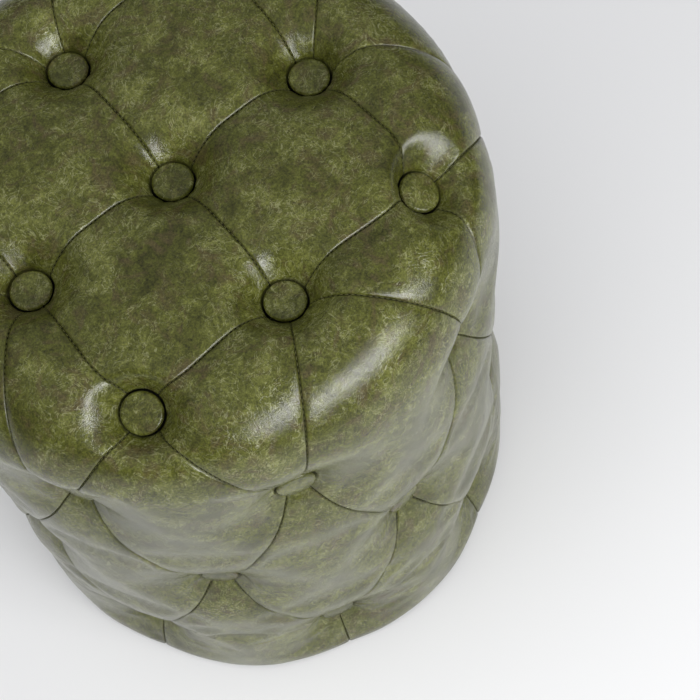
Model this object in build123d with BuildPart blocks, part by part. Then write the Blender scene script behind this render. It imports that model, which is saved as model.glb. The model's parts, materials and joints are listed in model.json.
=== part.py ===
from build123d import *
import math
import os
from functools import lru_cache

# Round deep-buttoned pouf, millimetres, +Z up, origin on the floor under the middle of the drum.
# The drum is an envelope of revolution that the crowns of the sewn panels touch. Every button pulls
# the cover in along the envelope's normal, and the seams run from button to button.

# Drum
HEIGHT = 450.0  # floor to the crown of the top
OUTER_DIAMETER = 380.0  # over the crowns of the side panels
RIM_RADIUS = 62.0  # rounding between the top and the side

# Button pattern
TOP_PITCH = 104.0  # centre button to the four buttons nearest to it
CORNER_TILT = 28.0  # degrees that the four corner buttons lean out on the rim
COLUMNS = 8  # buttons in each row round the side
FIRST_ROW_DROP = 114.0  # crown of the top down to the first side row
LAST_ROW_HEIGHT = 60.0  # floor up to the third side row
SIDE_TWIST = 4.5  # degrees that the side rows stand round from the top's pattern

# Tufting
TOP_BUTTON_DEPTH = 27.0  # crown of the top down to a button's face
SIDE_BUTTON_DEPTH = 17.0  # crown of the side in to a button's face
SEAM_DEPTH = 3.5  # crown to the middle of a seam
HEM_DEPTH = 7.0  # crown of the side in to the upright seams at the hem
HEM_CROWN = 4.0  # crown of the side in to the middle of a base panel at the hem
WELL_DROP = 1.0  # cover at a button's edge below the button's face
SEAM_GAP = 0.8  # between the panels on either side of a seam
DIMPLE_REACH = 40.0  # length of seam that a button pulls down, from its edge
CROWN_REACH = 48.0  # length of a panel's crown that a button pulls down, from its edge
TIP_RISE = 1.0  # crown above the seams at a panel's tip
TRACK_STEPS = 60  # points along a seam where its length is measured
WALL_FOOT = 6.0  # walls of the padded panels run this far into the core before they are cut off at it
WELL_CHORD = 0.7  # widest row of a panel starts this share of the well's radius from the button's axis
FACET = 19.0  # width of the flats that make up a panel's crown
EDGE_FACETS = 5  # flats along a rim triangle's top seam
EDGE_SHARE = 0.35  # share of a rim triangle's length in which it rises from its top seam
ROW_SHARES = (0.0, 0.14, 0.36, 0.68, 1.0)  # rows of flats from a tip to the widest line
HEM_SHARES = (0.3, 0.6, 0.85, 1.0)  # rows of flats from the third row of buttons to the hem

# Buttons, twine and toggles
BUTTON_DIAMETER = 25.0
BUTTON_CAP = 6.0  # thickness of the covered cap
BUTTON_EDGE = 2.5  # straight edge of the cap below its slope
BUTTON_FLAT = 11.0  # flat crown of the cap
BUTTON_BACK = 2.0  # thickness of the metal back
BACK_DIAMETER = 19.0
WELL_CLEARANCE = 0.6  # between a button and the panels round it
TWINE = 2.0  # flat-sided waxed twine
TWINE_HOLE = 5.0
TOGGLE_SIDE = 7.0
TOGGLE_LENGTH = 28.0

# Carcass
TOP_PADDING = 56.0  # crown of the top down to the top board
SIDE_PADDING = 38.0  # crown of the side in to the outside of the wall
BOARD = 15.0  # thickness of the top and base boards
WALL = 3.0  # hardboard
POST_SIDE = 28.0  # square posts
POSTS = 4
HAND_HOLE = 150.0  # opening in the base board
SCREW_DIAMETER = 4.0
SCREW_HEAD = 8.0
SCREW_LENGTH = 45.0
SCREW_HEAD_HEIGHT = 2.0

# Underside
GLIDE_HEIGHT = 5.0
GLIDE_DIAMETER = 24.0
GLIDE_SINK = 1.0  # glide screws' heads above the floor
GLIDE_CIRCLE = 105.0  # radius that the glides stand on
GLIDES = 4
GLIDE_TURN = 60.0  # degrees of the first glide from +X, clear of the posts
GLIDE_SCREW_LENGTH = 14.0
GLIDE_SCREW_DIAMETER = 3.0
GLIDE_SCREW_HEAD = 6.0
DUST_COVER = 1.0
DUST_COVER_SET_BACK = 22.0  # edge of the base board to the edge of the dust cover
HEM_THICKNESS = 2.0
HEM_WIDTH = 82.0
HEM_SET_BACK = 1.0  # hem inside the upright seams of the base panels
STAPLE_WIDTH = 10.0
STAPLE_WIRE = 1.0
STAPLE_LEG = 8.0
STAPLE_SET_BACK = 9.0  # staples inside the edge that they hold
HEM_STAPLES = 12
DUST_COVER_STAPLES = 6
WALL_STAPLES = 4  # round each board

# Flats that stand for small round forms
CORE_SIDES = 16
WELL_SIDES = 16
BUTTON_SIDES = 16
BACK_SIDES = 8
SCREW_SIDES = 6
GLIDE_SIDES = 24

# Clearances
SEAT = 0.3  # soft pieces to what they rest on
HOLE_CLEARANCE = 0.2  # fasteners in their holes, on the radius
BOARD_FIT = 0.1  # boards in the wall, on the radius
POST_CLEARANCE = 1.0  # post corners to the wall
TOGGLE_SEAT = 0.1  # toggles to the inside of the wall and the underside of the board
TWINE_END = 0.5  # twine to its toggle

os.makedirs("parts", exist_ok=True)

# Levels and radii
radius = OUTER_DIAMETER / 2
flat = radius - RIM_RADIUS
rim_arc = RIM_RADIUS * math.pi / 2
rim_level = HEIGHT - RIM_RADIUS
dust_level = GLIDE_HEIGHT
hem_level = dust_level + DUST_COVER
base_level = hem_level + HEM_THICKNESS
post_level = base_level + BOARD
top_level = HEIGHT - TOP_PADDING
post_top = top_level - BOARD
wall_outside = radius - SIDE_PADDING
wall_inside = wall_outside - WALL
button_height = BUTTON_CAP + BUTTON_BACK
top_back = TOP_BUTTON_DEPTH + button_height
side_back = SIDE_BUTTON_DEPTH + button_height
well_radius = (BUTTON_DIAMETER / 2 + WELL_CLEARANCE) / math.cos(math.pi / WELL_SIDES)
step = 360.0 / COLUMNS
core_turn = SIDE_TWIST + 180.0 / CORE_SIDES

# Places on the drum are (path, azimuth): path runs from the middle of the top out over the rim and down.


def envelope(path):
    """Radius, height and outward normal (radial, upward) of the drum at a path length."""
    if path <= flat:
        return path, HEIGHT, 0.0, 1.0
    if path <= flat + rim_arc:
        turn = (path - flat) / RIM_RADIUS
        return (
            flat + RIM_RADIUS * math.sin(turn),
            rim_level + RIM_RADIUS * math.cos(turn),
            math.sin(turn),
            math.cos(turn),
        )
    return radius, rim_level - (path - flat - rim_arc), 1.0, 0.0


def on_drum(place, depth=0.0):
    """Point at a depth under the drum's envelope."""
    path, azimuth = place
    r, z, out, up = envelope(path)
    r -= out * depth
    angle = math.radians(azimuth)
    return Vector(r * math.cos(angle), r * math.sin(angle), z - up * depth)


def normal_at(place):
    """Outward normal of the drum."""
    path, azimuth = place
    _, _, out, up = envelope(path)
    angle = math.radians(azimuth)
    return Vector(out * math.cos(angle), out * math.sin(angle), up)


def place_of(point):
    """Place on the drum nearest to a point that lies under it."""
    r = math.hypot(point.X, point.Y)
    azimuth = math.degrees(math.atan2(point.Y, point.X))
    if point.Z <= rim_level:
        return flat + rim_arc + rim_level - point.Z, azimuth
    if r <= flat:
        return r, azimuth
    return flat + RIM_RADIUS * math.atan2(r - flat, point.Z - rim_level), azimuth


def side_path(z):
    """Path length down to a height on the side."""
    return flat + rim_arc + rim_level - z


def upward(place):
    """Share of the normal that points up, 1 on the top and 0 on the side."""
    return envelope(place[0])[3]


def face_depth(place):
    """Depth of a button's face."""
    return SIDE_BUTTON_DEPTH + (TOP_BUTTON_DEPTH - SIDE_BUTTON_DEPTH) * upward(place)


def back_depth(place):
    """Depth of the back of the padded panels, level with the backs of the buttons."""
    return side_back + (top_back - side_back) * upward(place)


# Buttons
row_drop = (HEIGHT - FIRST_ROW_DROP - LAST_ROW_HEIGHT) / 2
row_levels = [HEIGHT - FIRST_ROW_DROP - row_drop * row for row in range(3)]
corner_path = flat + RIM_RADIUS * math.radians(CORNER_TILT)
centre_button = (0.0, 0.0)


def middle_button(quarter):
    return (TOP_PITCH, 90.0 * quarter)


def corner_button(quarter):
    return (corner_path, 90.0 * quarter + 45.0)


def side_button(row, column):
    """Rows one and three stand half a step round from row two."""
    shift = 0.0 if row == 1 else 0.5
    return (side_path(row_levels[row]), step * (column + shift) + SIDE_TWIST)


top_buttons = [centre_button]
top_buttons += [middle_button(quarter) for quarter in range(4)]
top_buttons += [corner_button(quarter) for quarter in range(4)]
side_buttons = [side_button(row, column) for row in range(3) for column in range(COLUMNS)]


def axis_plane(place, depth):
    """Plane on a button's axis with Z along the drum's normal and X level."""
    normal = normal_at(place)
    angle = math.radians(place[1])
    return Plane(
        origin=on_drum(place, depth),
        x_dir=(-math.sin(angle), math.cos(angle), 0),
        z_dir=normal,
    )


# Seams. Each lies in the plane of its two buttons and of the mean of the drum's normals there.


def is_inside(point):
    """Whether a point lies inside the drum's envelope."""
    r = math.hypot(point.X, point.Y)
    if point.Z <= rim_level:
        return r <= radius
    if r <= flat:
        return point.Z <= HEIGHT
    return math.hypot(r - flat, point.Z - rim_level) <= RIM_RADIUS


def seam_lift(first, last):
    """Direction in which a seam's chord is raised on to the drum."""
    if max(first[0], last[0]) <= flat + rim_arc:
        return Vector(0, 0, 1)
    return (normal_at(first) + normal_at(last)).normalized()


def raised(point, lift):
    """Point on the drum straight above a point inside it, by halving the step."""
    step_out = radius
    height = 0.0
    for _ in range(40):
        if is_inside(point + lift * (height + step_out)):
            height += step_out
        step_out /= 2
    return point + lift * height


@lru_cache(maxsize=None)
def seam_track(first, last):
    """Points of a seam on the drum, with the length run so far at each."""
    start = on_drum(first)
    chord = on_drum(last) - start
    lift = seam_lift(first, last)
    points = [raised(start + chord * (index / TRACK_STEPS), lift) for index in range(TRACK_STEPS + 1)]
    runs = [0.0]
    for before, after in zip(points, points[1:]):
        runs.append(runs[-1] + (after - before).length)
    return points, runs


def seam_pair(first, last, share):
    """Point of a seam between its two button wells, and the foot of its wall inside the core."""
    points, runs = seam_track(first, last)
    length = runs[-1]
    run = well_radius + (length - 2 * well_radius) * share
    index = max(i for i in range(TRACK_STEPS) if runs[i] <= run)
    part_way = (run - runs[index]) / (runs[index + 1] - runs[index])
    on_top = points[index] + (points[index + 1] - points[index]) * part_way
    place = place_of(on_top)
    side_on = (on_drum(last) - on_drum(first)).cross(seam_lift(first, last)).normalized()
    normal = normal_at(place)
    inward = (side_on * normal.dot(side_on) - normal).normalized()
    reach = min(length / 2 - well_radius, DIMPLE_REACH)
    depth = SEAM_DEPTH
    for button, beyond in ((first, run - well_radius), (last, length - well_radius - run)):
        near = max(0.0, 1 - beyond / reach)
        depth += (face_depth(button) + WELL_DROP - SEAM_DEPTH) * near**2
    return on_top + inward * depth, on_top + inward * (back_depth(place) + WALL_FOOT)


# Padded panels. Each is a crowned hull over rows of points from seam to seam, less the drum's core.


def crown_depth(point, buttons):
    """Depth of a panel's crown under a point, deeper towards the buttons at its tips."""
    depth = 0.0
    for button in buttons:
        beyond = (on_drum(place_of(point)) - on_drum(button)).length - well_radius
        near = min(1.0, max(0.0, 1 - beyond / CROWN_REACH))
        depth = max(depth, (face_depth(button) + WELL_DROP - TIP_RISE) * near**2)
    return depth


def row(left, right, tips, drop=0.0):
    """Points of one row of a panel: an arc from seam to seam over the crown, and the feet of both walls."""
    across = (right[0] - left[0]).normalized()
    a, a_foot = [point + across * (SEAM_GAP / 2) for point in left]
    b, b_foot = [point - across * (SEAM_GAP / 2) for point in right]
    middle = (a + b) * 0.5
    crown = on_drum(place_of(middle), max(drop, crown_depth(middle, tips)))
    rise = crown - middle
    half = (b - a).length / 2
    bend = 2 * math.atan2(rise.length, half)
    bow = half / math.sin(bend)
    count = 2 * max(1, round(half / FACET))
    points = [a_foot, b_foot]
    for index in range(count + 1):
        turn = bend * (2 * index / count - 1)
        lift = rise.length - bow * (1 - math.cos(turn))
        points.append(middle + across * (bow * math.sin(turn)) + rise.normalized() * lift)
    return points


def wide_row(left, right):
    """Row across a panel's widest line, from well to well."""
    ends = []
    start = on_drum(left)
    chord = on_drum(right) - start
    inset = WELL_CHORD * well_radius / chord.length
    for button, share in ((left, inset), (right, 1 - inset)):
        place = place_of(raised(start + chord * share, normal_at(left) + normal_at(right)))
        depth = face_depth(button) + WELL_DROP
        ends.append((on_drum(place, depth), on_drum(place, back_depth(place) + WALL_FOOT)))
    return row(ends[0], ends[1], ())


def narrowing(tip, left, right):
    """Rows of a panel from its tip button towards its widest line."""
    points = []
    for share in ROW_SHARES:
        points += row(seam_pair(tip, left, share), seam_pair(tip, right, share), (tip,))
    return points


def padded(points, buttons, neighbours=None):
    """Panel over rows of points, cut off at the core, at finished neighbours and round its buttons."""
    with BuildPart() as panel:
        ConvexPolyhedron(points)
        add(core, mode=Mode.SUBTRACT)
        if neighbours:
            add(neighbours, mode=Mode.SUBTRACT)
        for button in buttons:
            with BuildSketch(axis_plane(button, -top_back)):
                RegularPolygon(well_radius, WELL_SIDES)
            extrude(amount=-3 * top_back, mode=Mode.SUBTRACT)
    return panel.part


def diamond(tip, left, right, foot, neighbours=None):
    """Padded diamond between four buttons."""
    points = narrowing(tip, left, right) + wide_row(left, right) + narrowing(foot, left, right)
    return padded(points, (tip, left, right, foot), neighbours)


def triangle(left, right, foot, neighbours):
    """Padded triangle between two top buttons and one of the first side row."""
    points = []
    for share in [index / EDGE_FACETS for index in range(EDGE_FACETS + 1)]:
        points += seam_pair(left, right, share)
    for share in ROW_SHARES[1:] + (1.0,):
        drop = SEAM_DEPTH * max(0.0, 1 - share / EDGE_SHARE) ** 2
        points += row(seam_pair(left, foot, share), seam_pair(right, foot, share), (foot,), drop)
    return padded(points, (left, right, foot), neighbours)


def base_panel(tip, left, right):
    """Padded panel between a second row button, two of the third row and the hem."""
    points = narrowing(tip, left, right) + wide_row(left, right)
    for share in HEM_SHARES:
        z = row_levels[2] + (base_level - row_levels[2]) * share
        depth = HEM_DEPTH + (SIDE_BUTTON_DEPTH + WELL_DROP - HEM_DEPTH) * (1 - share) ** 2
        ends = []
        for button in (left, right):
            place = (side_path(z), button[1])
            ends.append((on_drum(place, depth), on_drum(place, side_back + WALL_FOOT)))
        points += row(ends[0], ends[1], (), HEM_CROWN * share**2)
    return padded(points, (tip, left, right))


def finish(part, label):
    """Label a piece and write it."""
    part.label = label
    export_step(part, f"parts/{label}.step")


def core_solid(inset):
    """Drum's core, which the backs of the panels lie against: flats with a sloped shoulder."""
    side = radius - side_back - inset
    shoulder = HEIGHT - top_back - inset - rim_level
    slope = math.degrees(math.atan2(side - flat, shoulder))
    with BuildPart() as one:
        with BuildSketch(Plane.XY.offset(base_level)):
            RegularPolygon(side, CORE_SIDES, major_radius=False, rotation=core_turn)
        extrude(amount=rim_level - base_level)
        with BuildSketch(Plane.XY.offset(rim_level)):
            RegularPolygon(side, CORE_SIDES, major_radius=False, rotation=core_turn)
        extrude(amount=shoulder, taper=slope)
    return one.part


core = core_solid(0.0)

one_top_diamond = diamond(centre_button, middle_button(1), middle_button(0), corner_button(0))
with BuildPart() as top_diamonds:
    with PolarLocations(0, 4):
        add(one_top_diamond)
finish(top_diamonds.part, "top_diamonds")

rim_on_middle = diamond(
    middle_button(0), side_button(0, 0), side_button(0, -1), side_button(1, 0), top_diamonds.part
)
rim_on_corner = diamond(
    corner_button(0), side_button(0, 1), side_button(0, 0), side_button(1, 1), top_diamonds.part
)
with BuildPart() as rim_diamonds:
    with PolarLocations(0, 4):
        add(rim_on_middle)
        add(rim_on_corner)
finish(rim_diamonds.part, "rim_diamonds")

triangle_before = triangle(corner_button(0), middle_button(0), side_button(0, 0), rim_diamonds.part)
triangle_after = triangle(middle_button(1), corner_button(0), side_button(0, 1), rim_diamonds.part)
with BuildPart() as rim_triangles:
    with PolarLocations(0, 4):
        add(triangle_before)
        add(triangle_after)
finish(rim_triangles.part, "rim_triangles")

one_side_diamond = diamond(side_button(0, 0), side_button(1, 1), side_button(1, 0), side_button(2, 0))
with BuildPart() as side_diamonds:
    with PolarLocations(0, COLUMNS):
        add(one_side_diamond)
finish(side_diamonds.part, "side_diamonds")

one_base_panel = base_panel(side_button(1, 0), side_button(2, 0), side_button(2, -1))
with BuildPart() as base_panels:
    with PolarLocations(0, COLUMNS):
        add(one_base_panel)
finish(base_panels.part, "base_panels")

# Padding under the panels, with a slot for each twine

with BuildPart() as padding:
    add(core_solid(SEAT))
    with BuildSketch(Plane.XY.offset(base_level)):
        RegularPolygon(
            wall_outside + STAPLE_WIRE + SEAT, CORE_SIDES, major_radius=False, rotation=core_turn
        )
    extrude(amount=top_level - base_level, mode=Mode.SUBTRACT)
    for button in top_buttons + side_buttons:
        with Locations(axis_plane(button, 0).location):
            Box(TWINE_HOLE, TWINE_HOLE, 2 * (top_back + TOP_PADDING), mode=Mode.SUBTRACT)

with BuildPart() as foam_cap:
    add(padding.part)
    split(bisect_by=Plane.XY.offset(top_level), keep=Keep.TOP)
finish(foam_cap.part, "foam_cap")

with BuildPart() as foam_sleeve:
    add(padding.part)
    split(bisect_by=Plane.XY.offset(top_level), keep=Keep.BOTTOM)
finish(foam_sleeve.part, "foam_sleeve")

# Carcass

board_radius = wall_inside - BOARD_FIT
post_radius = math.sqrt(wall_inside**2 - (POST_SIDE / 2) ** 2) - POST_SIDE / 2 - POST_CLEARANCE
post_turn = step / 4 + SIDE_TWIST


def staple():
    """Staple on Z = 0 with its legs up."""
    with BuildPart() as one:
        with BuildSketch(Plane.XZ):
            Rectangle(STAPLE_WIDTH, STAPLE_LEG + STAPLE_WIRE, align=(Align.CENTER, Align.MIN))
            with Locations((0, STAPLE_WIRE)):
                Rectangle(
                    STAPLE_WIDTH - 2 * STAPLE_WIRE,
                    STAPLE_LEG,
                    align=(Align.CENTER, Align.MIN),
                    mode=Mode.SUBTRACT,
                )
        extrude(amount=STAPLE_WIRE / 2, both=True)
    return one.part


def staple_kerf():
    """Cut that a staple's legs stand in."""
    with BuildPart() as one:
        Box(
            STAPLE_WIDTH + 2 * HOLE_CLEARANCE,
            STAPLE_WIRE + 2 * HOLE_CLEARANCE,
            STAPLE_LEG + STAPLE_WIRE + HOLE_CLEARANCE,
            align=(Align.CENTER, Align.CENTER, Align.MIN),
        )
    return one.part


def screw(length, diameter, head, clearance=0.0):
    """Countersunk screw with its head's face on Z = 0 and its point down, or the hole for it."""
    shank = diameter / 2 + clearance
    top = head / 2 + clearance
    slope = math.degrees(math.atan2(head - diameter, 2 * SCREW_HEAD_HEIGHT))
    with BuildPart() as one:
        with BuildSketch(Plane.XY):
            RegularPolygon(shank, SCREW_SIDES)
        extrude(amount=-length - clearance)
        with BuildSketch(Plane.XY):
            RegularPolygon(top, SCREW_SIDES)
        extrude(amount=-SCREW_HEAD_HEIGHT, taper=slope)
    return one.part


one_staple = staple()
kerf = staple_kerf()
frame_screw = screw(SCREW_LENGTH, SCREW_DIAMETER, SCREW_HEAD)
frame_screw_hole = screw(SCREW_LENGTH, SCREW_DIAMETER, SCREW_HEAD, HOLE_CLEARANCE)
glide_screw = screw(GLIDE_SCREW_LENGTH, GLIDE_SCREW_DIAMETER, GLIDE_SCREW_HEAD)
glide_screw_hole = screw(GLIDE_SCREW_LENGTH, GLIDE_SCREW_DIAMETER, GLIDE_SCREW_HEAD, HOLE_CLEARANCE)


def round_axis(ring, count, turn, z, upside_down=False):
    """Places round the axis at a height, facing up or down."""
    places = []
    for index in range(count):
        angle = math.radians(turn + 360.0 * index / count)
        spot = (ring * math.cos(angle), ring * math.sin(angle), z)
        places.append(Location(spot, (180, 0, 0) if upside_down else (0, 0, 0)))
    return places


def staple_places(count, ring, z):
    """Staples round a ring, legs up, set along it."""
    return [
        Location((ring * math.cos(a), ring * math.sin(a), z), (0, 0, math.degrees(a) + 90))
        for a in [math.tau * (index + 0.5) / count for index in range(count)]
    ]


def wall_staple_places(z):
    """Staples through the wall into a board's edge, legs towards the axis."""
    places = []
    for index in range(WALL_STAPLES):
        angle = 360.0 * (index + 0.25) / WALL_STAPLES + SIDE_TWIST
        face = Plane(
            origin=Vector(wall_outside + STAPLE_WIRE, 0, z).rotate(Axis.Z, angle),
            x_dir=Vector(0, 1, 0).rotate(Axis.Z, angle),
            z_dir=Vector(-1, 0, 0).rotate(Axis.Z, angle),
        )
        places.append(face.location)
    return places


hem_staple_places = staple_places(HEM_STAPLES, board_radius - STAPLE_SET_BACK, hem_level - STAPLE_WIRE)
dust_radius = board_radius - DUST_COVER_SET_BACK
dust_staple_places = staple_places(
    DUST_COVER_STAPLES, dust_radius - STAPLE_SET_BACK, dust_level - STAPLE_WIRE
)
upper_wall_staples = wall_staple_places(top_level - BOARD / 2)
lower_wall_staples = wall_staple_places(base_level + BOARD / 2)
top_screw_places = round_axis(post_radius, POSTS, post_turn, top_level)
base_screw_places = round_axis(post_radius, POSTS, post_turn, base_level, upside_down=True)
glide_places = round_axis(GLIDE_CIRCLE, GLIDES, GLIDE_TURN, 0.0)
glide_screw_places = round_axis(GLIDE_CIRCLE, GLIDES, GLIDE_TURN, GLIDE_SINK, upside_down=True)

with BuildPart() as top_board:
    with BuildSketch(Plane.XY.offset(post_top)):
        Circle(board_radius)
    extrude(amount=BOARD)
    for button in top_buttons:
        with Locations(axis_plane(button, 0).location):
            Box(TWINE_HOLE, TWINE_HOLE, 3 * TOP_PADDING, mode=Mode.SUBTRACT)
    with Locations(*top_screw_places):
        add(frame_screw_hole, mode=Mode.SUBTRACT)
    with Locations(*upper_wall_staples):
        add(kerf, mode=Mode.SUBTRACT)
finish(top_board.part, "top_board")

with BuildPart() as base_board:
    with BuildSketch(Plane.XY.offset(base_level)):
        Circle(board_radius)
        Circle(HAND_HOLE / 2, mode=Mode.SUBTRACT)
    extrude(amount=BOARD)
    with Locations(*base_screw_places):
        add(frame_screw_hole, mode=Mode.SUBTRACT)
    with Locations(*glide_screw_places):
        add(glide_screw_hole, mode=Mode.SUBTRACT)
    with Locations(*lower_wall_staples, *hem_staple_places, *dust_staple_places):
        add(kerf, mode=Mode.SUBTRACT)
finish(base_board.part, "base_board")

with BuildPart() as wall:
    with BuildSketch(Plane.XY.offset(base_level)):
        Circle(wall_outside)
        Circle(wall_inside, mode=Mode.SUBTRACT)
    extrude(amount=top_level - base_level)
    for button in side_buttons:
        with Locations(axis_plane(button, SIDE_PADDING).location):
            Box(TWINE_HOLE, TWINE_HOLE, 4 * WALL, mode=Mode.SUBTRACT)
    with Locations(*upper_wall_staples, *lower_wall_staples):
        add(kerf, mode=Mode.SUBTRACT)
finish(wall.part, "wall")

with BuildPart() as wall_staples:
    with Locations(*upper_wall_staples, *lower_wall_staples):
        add(one_staple)
finish(wall_staples.part, "wall_staples")

for index in range(POSTS):
    angle = post_turn + 360.0 * index / POSTS
    spot = Vector(post_radius, 0, post_level).rotate(Axis.Z, angle)
    with BuildPart() as post:
        with BuildSketch(Plane(origin=spot, x_dir=Vector(1, 0, 0).rotate(Axis.Z, angle), z_dir=(0, 0, 1))):
            Rectangle(POST_SIDE, POST_SIDE)
        extrude(amount=post_top - post_level)
        with Locations(top_screw_places[index], base_screw_places[index]):
            add(frame_screw_hole, mode=Mode.SUBTRACT)
    finish(post.part, f"post_{index + 1}")

with BuildPart() as top_screws:
    with Locations(*top_screw_places):
        add(frame_screw)
finish(top_screws.part, "top_screws")

with BuildPart() as base_screws:
    with Locations(*base_screw_places):
        add(frame_screw)
finish(base_screws.part, "base_screws")

# Underside

with BuildPart() as hem:
    with BuildSketch(Plane.XY.offset(hem_level)):
        Circle(radius - HEM_DEPTH - HEM_SET_BACK)
        Circle(radius - HEM_DEPTH - HEM_SET_BACK - HEM_WIDTH, mode=Mode.SUBTRACT)
    extrude(amount=HEM_THICKNESS)
    with Locations(*glide_screw_places):
        add(glide_screw_hole, mode=Mode.SUBTRACT)
    with Locations(*hem_staple_places, *dust_staple_places):
        add(kerf, mode=Mode.SUBTRACT)
finish(hem.part, "hem")

with BuildPart() as hem_staples:
    with Locations(*hem_staple_places):
        add(one_staple)
finish(hem_staples.part, "hem_staples")

with BuildPart() as dust_cover:
    with BuildSketch(Plane.XY.offset(dust_level)):
        Circle(dust_radius)
    extrude(amount=DUST_COVER)
    with Locations(*glide_screw_places):
        add(glide_screw_hole, mode=Mode.SUBTRACT)
    with Locations(*dust_staple_places):
        add(kerf, mode=Mode.SUBTRACT)
finish(dust_cover.part, "dust_cover")

with BuildPart() as dust_cover_staples:
    with Locations(*dust_staple_places):
        add(one_staple)
finish(dust_cover_staples.part, "dust_cover_staples")

with BuildPart() as glides:
    for place in glide_places:
        with BuildSketch(Plane(place)):
            RegularPolygon(GLIDE_DIAMETER / 2, GLIDE_SIDES)
        extrude(amount=GLIDE_HEIGHT)
    with Locations(*glide_screw_places):
        add(glide_screw_hole, mode=Mode.SUBTRACT)
    for place in glide_places:
        with BuildSketch(Plane(place)):
            RegularPolygon(GLIDE_SCREW_HEAD / 2 + HOLE_CLEARANCE, SCREW_SIDES)
        extrude(amount=GLIDE_SINK, mode=Mode.SUBTRACT)
finish(glides.part, "glides")

with BuildPart() as glide_screws:
    with Locations(*glide_screw_places):
        add(glide_screw)
finish(glide_screws.part, "glide_screws")

# Buttons. Each stands on its axis with its back on the padding.

cap_slope = math.degrees(math.atan2(BUTTON_DIAMETER - BUTTON_FLAT, 2 * (BUTTON_CAP - BUTTON_EDGE)))
with BuildPart() as cap:
    with BuildSketch(Plane.XY):
        RegularPolygon(BUTTON_DIAMETER / 2, BUTTON_SIDES)
    extrude(amount=BUTTON_EDGE)
    with BuildSketch(Plane.XY.offset(BUTTON_EDGE)):
        RegularPolygon(BUTTON_DIAMETER / 2, BUTTON_SIDES)
    extrude(amount=BUTTON_CAP - BUTTON_EDGE, taper=cap_slope)

with BuildPart() as back:
    with BuildSketch(Plane.XY):
        RegularPolygon(BACK_DIAMETER / 2, BACK_SIDES)
    extrude(amount=BUTTON_BACK)


def twine_end(where, button):
    """Depth at which a twine comes out behind the board or the wall."""
    if where == "top":
        _, height, _, up = envelope(button[0])
        return (height - post_top) / up
    return radius - wall_inside


def toggle_plane(where, button):
    """Plane of a toggle's face, level under the board or upright inside the wall."""
    inside = axis_plane(button, twine_end(where, button) + TOGGLE_SEAT)
    if where == "top":
        return Plane(origin=inside.origin, x_dir=inside.x_dir, z_dir=(0, 0, 1))
    return inside


button_sets = {"top": top_buttons, "side": side_buttons}
for where, buttons in button_sets.items():
    with BuildPart() as caps:
        with Locations(*[axis_plane(b, face_depth(b) + BUTTON_CAP).location for b in buttons]):
            add(cap.part)
    finish(caps.part, f"{where}_button_caps")

    with BuildPart() as backs:
        with Locations(*[axis_plane(b, face_depth(b) + button_height).location for b in buttons]):
            add(back.part)
    finish(backs.part, f"{where}_button_backs")

    with BuildPart() as twines:
        for button in buttons:
            start = face_depth(button) + button_height
            end = twine_end(where, button) - TWINE_END
            with Locations(axis_plane(button, end).location):
                Box(TWINE, TWINE, end - start, align=(Align.CENTER, Align.CENTER, Align.MIN))
    finish(twines.part, f"{where}_twines")

    with BuildPart() as toggles:
        for button in buttons:
            with Locations(toggle_plane(where, button).location):
                Box(
                    TOGGLE_SIDE,
                    TOGGLE_LENGTH,
                    TOGGLE_SIDE,
                    align=(Align.CENTER, Align.CENTER, Align.MAX),
                )
    finish(toggles.part, f"{where}_toggles")
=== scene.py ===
"""Looks of a round deep-buttoned pouf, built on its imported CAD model."""

import json
import logging
import math
from dataclasses import dataclass, field
from enum import Enum
from functools import lru_cache

import bmesh
import bpy
import numpy as np
from mathutils import Matrix, Vector, noise


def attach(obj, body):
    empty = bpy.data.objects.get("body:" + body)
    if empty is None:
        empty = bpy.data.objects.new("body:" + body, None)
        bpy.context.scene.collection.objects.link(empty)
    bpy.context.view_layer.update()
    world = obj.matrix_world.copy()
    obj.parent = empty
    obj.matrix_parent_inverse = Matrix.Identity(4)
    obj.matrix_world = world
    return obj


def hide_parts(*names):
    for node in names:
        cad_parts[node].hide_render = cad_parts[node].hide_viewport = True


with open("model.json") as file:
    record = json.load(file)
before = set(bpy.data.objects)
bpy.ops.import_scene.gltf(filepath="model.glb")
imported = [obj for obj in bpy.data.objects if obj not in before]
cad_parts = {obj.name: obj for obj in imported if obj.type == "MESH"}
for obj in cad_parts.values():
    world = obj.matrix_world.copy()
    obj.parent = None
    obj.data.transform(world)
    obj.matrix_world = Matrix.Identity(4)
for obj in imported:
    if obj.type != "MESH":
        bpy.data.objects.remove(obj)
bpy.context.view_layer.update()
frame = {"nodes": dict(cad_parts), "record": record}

log = logging.getLogger("pouf")
MM = 0.001
HALVINGS = 40  # steps of the search for a point on the drum
TINY = 1e-9  # least length that is divided by
LEAST_SINE = 1e-6
MOST_COSINE = 0.9999
JOIN = 0.00002  # points nearer to each other than this are one, in metres
SLIVER = 0.000005  # shorter edges are taken out, in metres


class Zone(Enum):
    """Sewn zones of the cover, each with the CAD node that it stands for."""

    TOP = "top_diamonds"
    RIM_SMALL = "rim_triangles"
    RIM_LARGE = "rim_diamonds"
    SIDE = "side_diamonds"
    BASE = "base_panels"


@dataclass(frozen=True)
class Place:
    """Spot on the drum: path length out from the middle of the top in mm, and azimuth in degrees."""

    path: float
    azimuth: float


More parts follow.
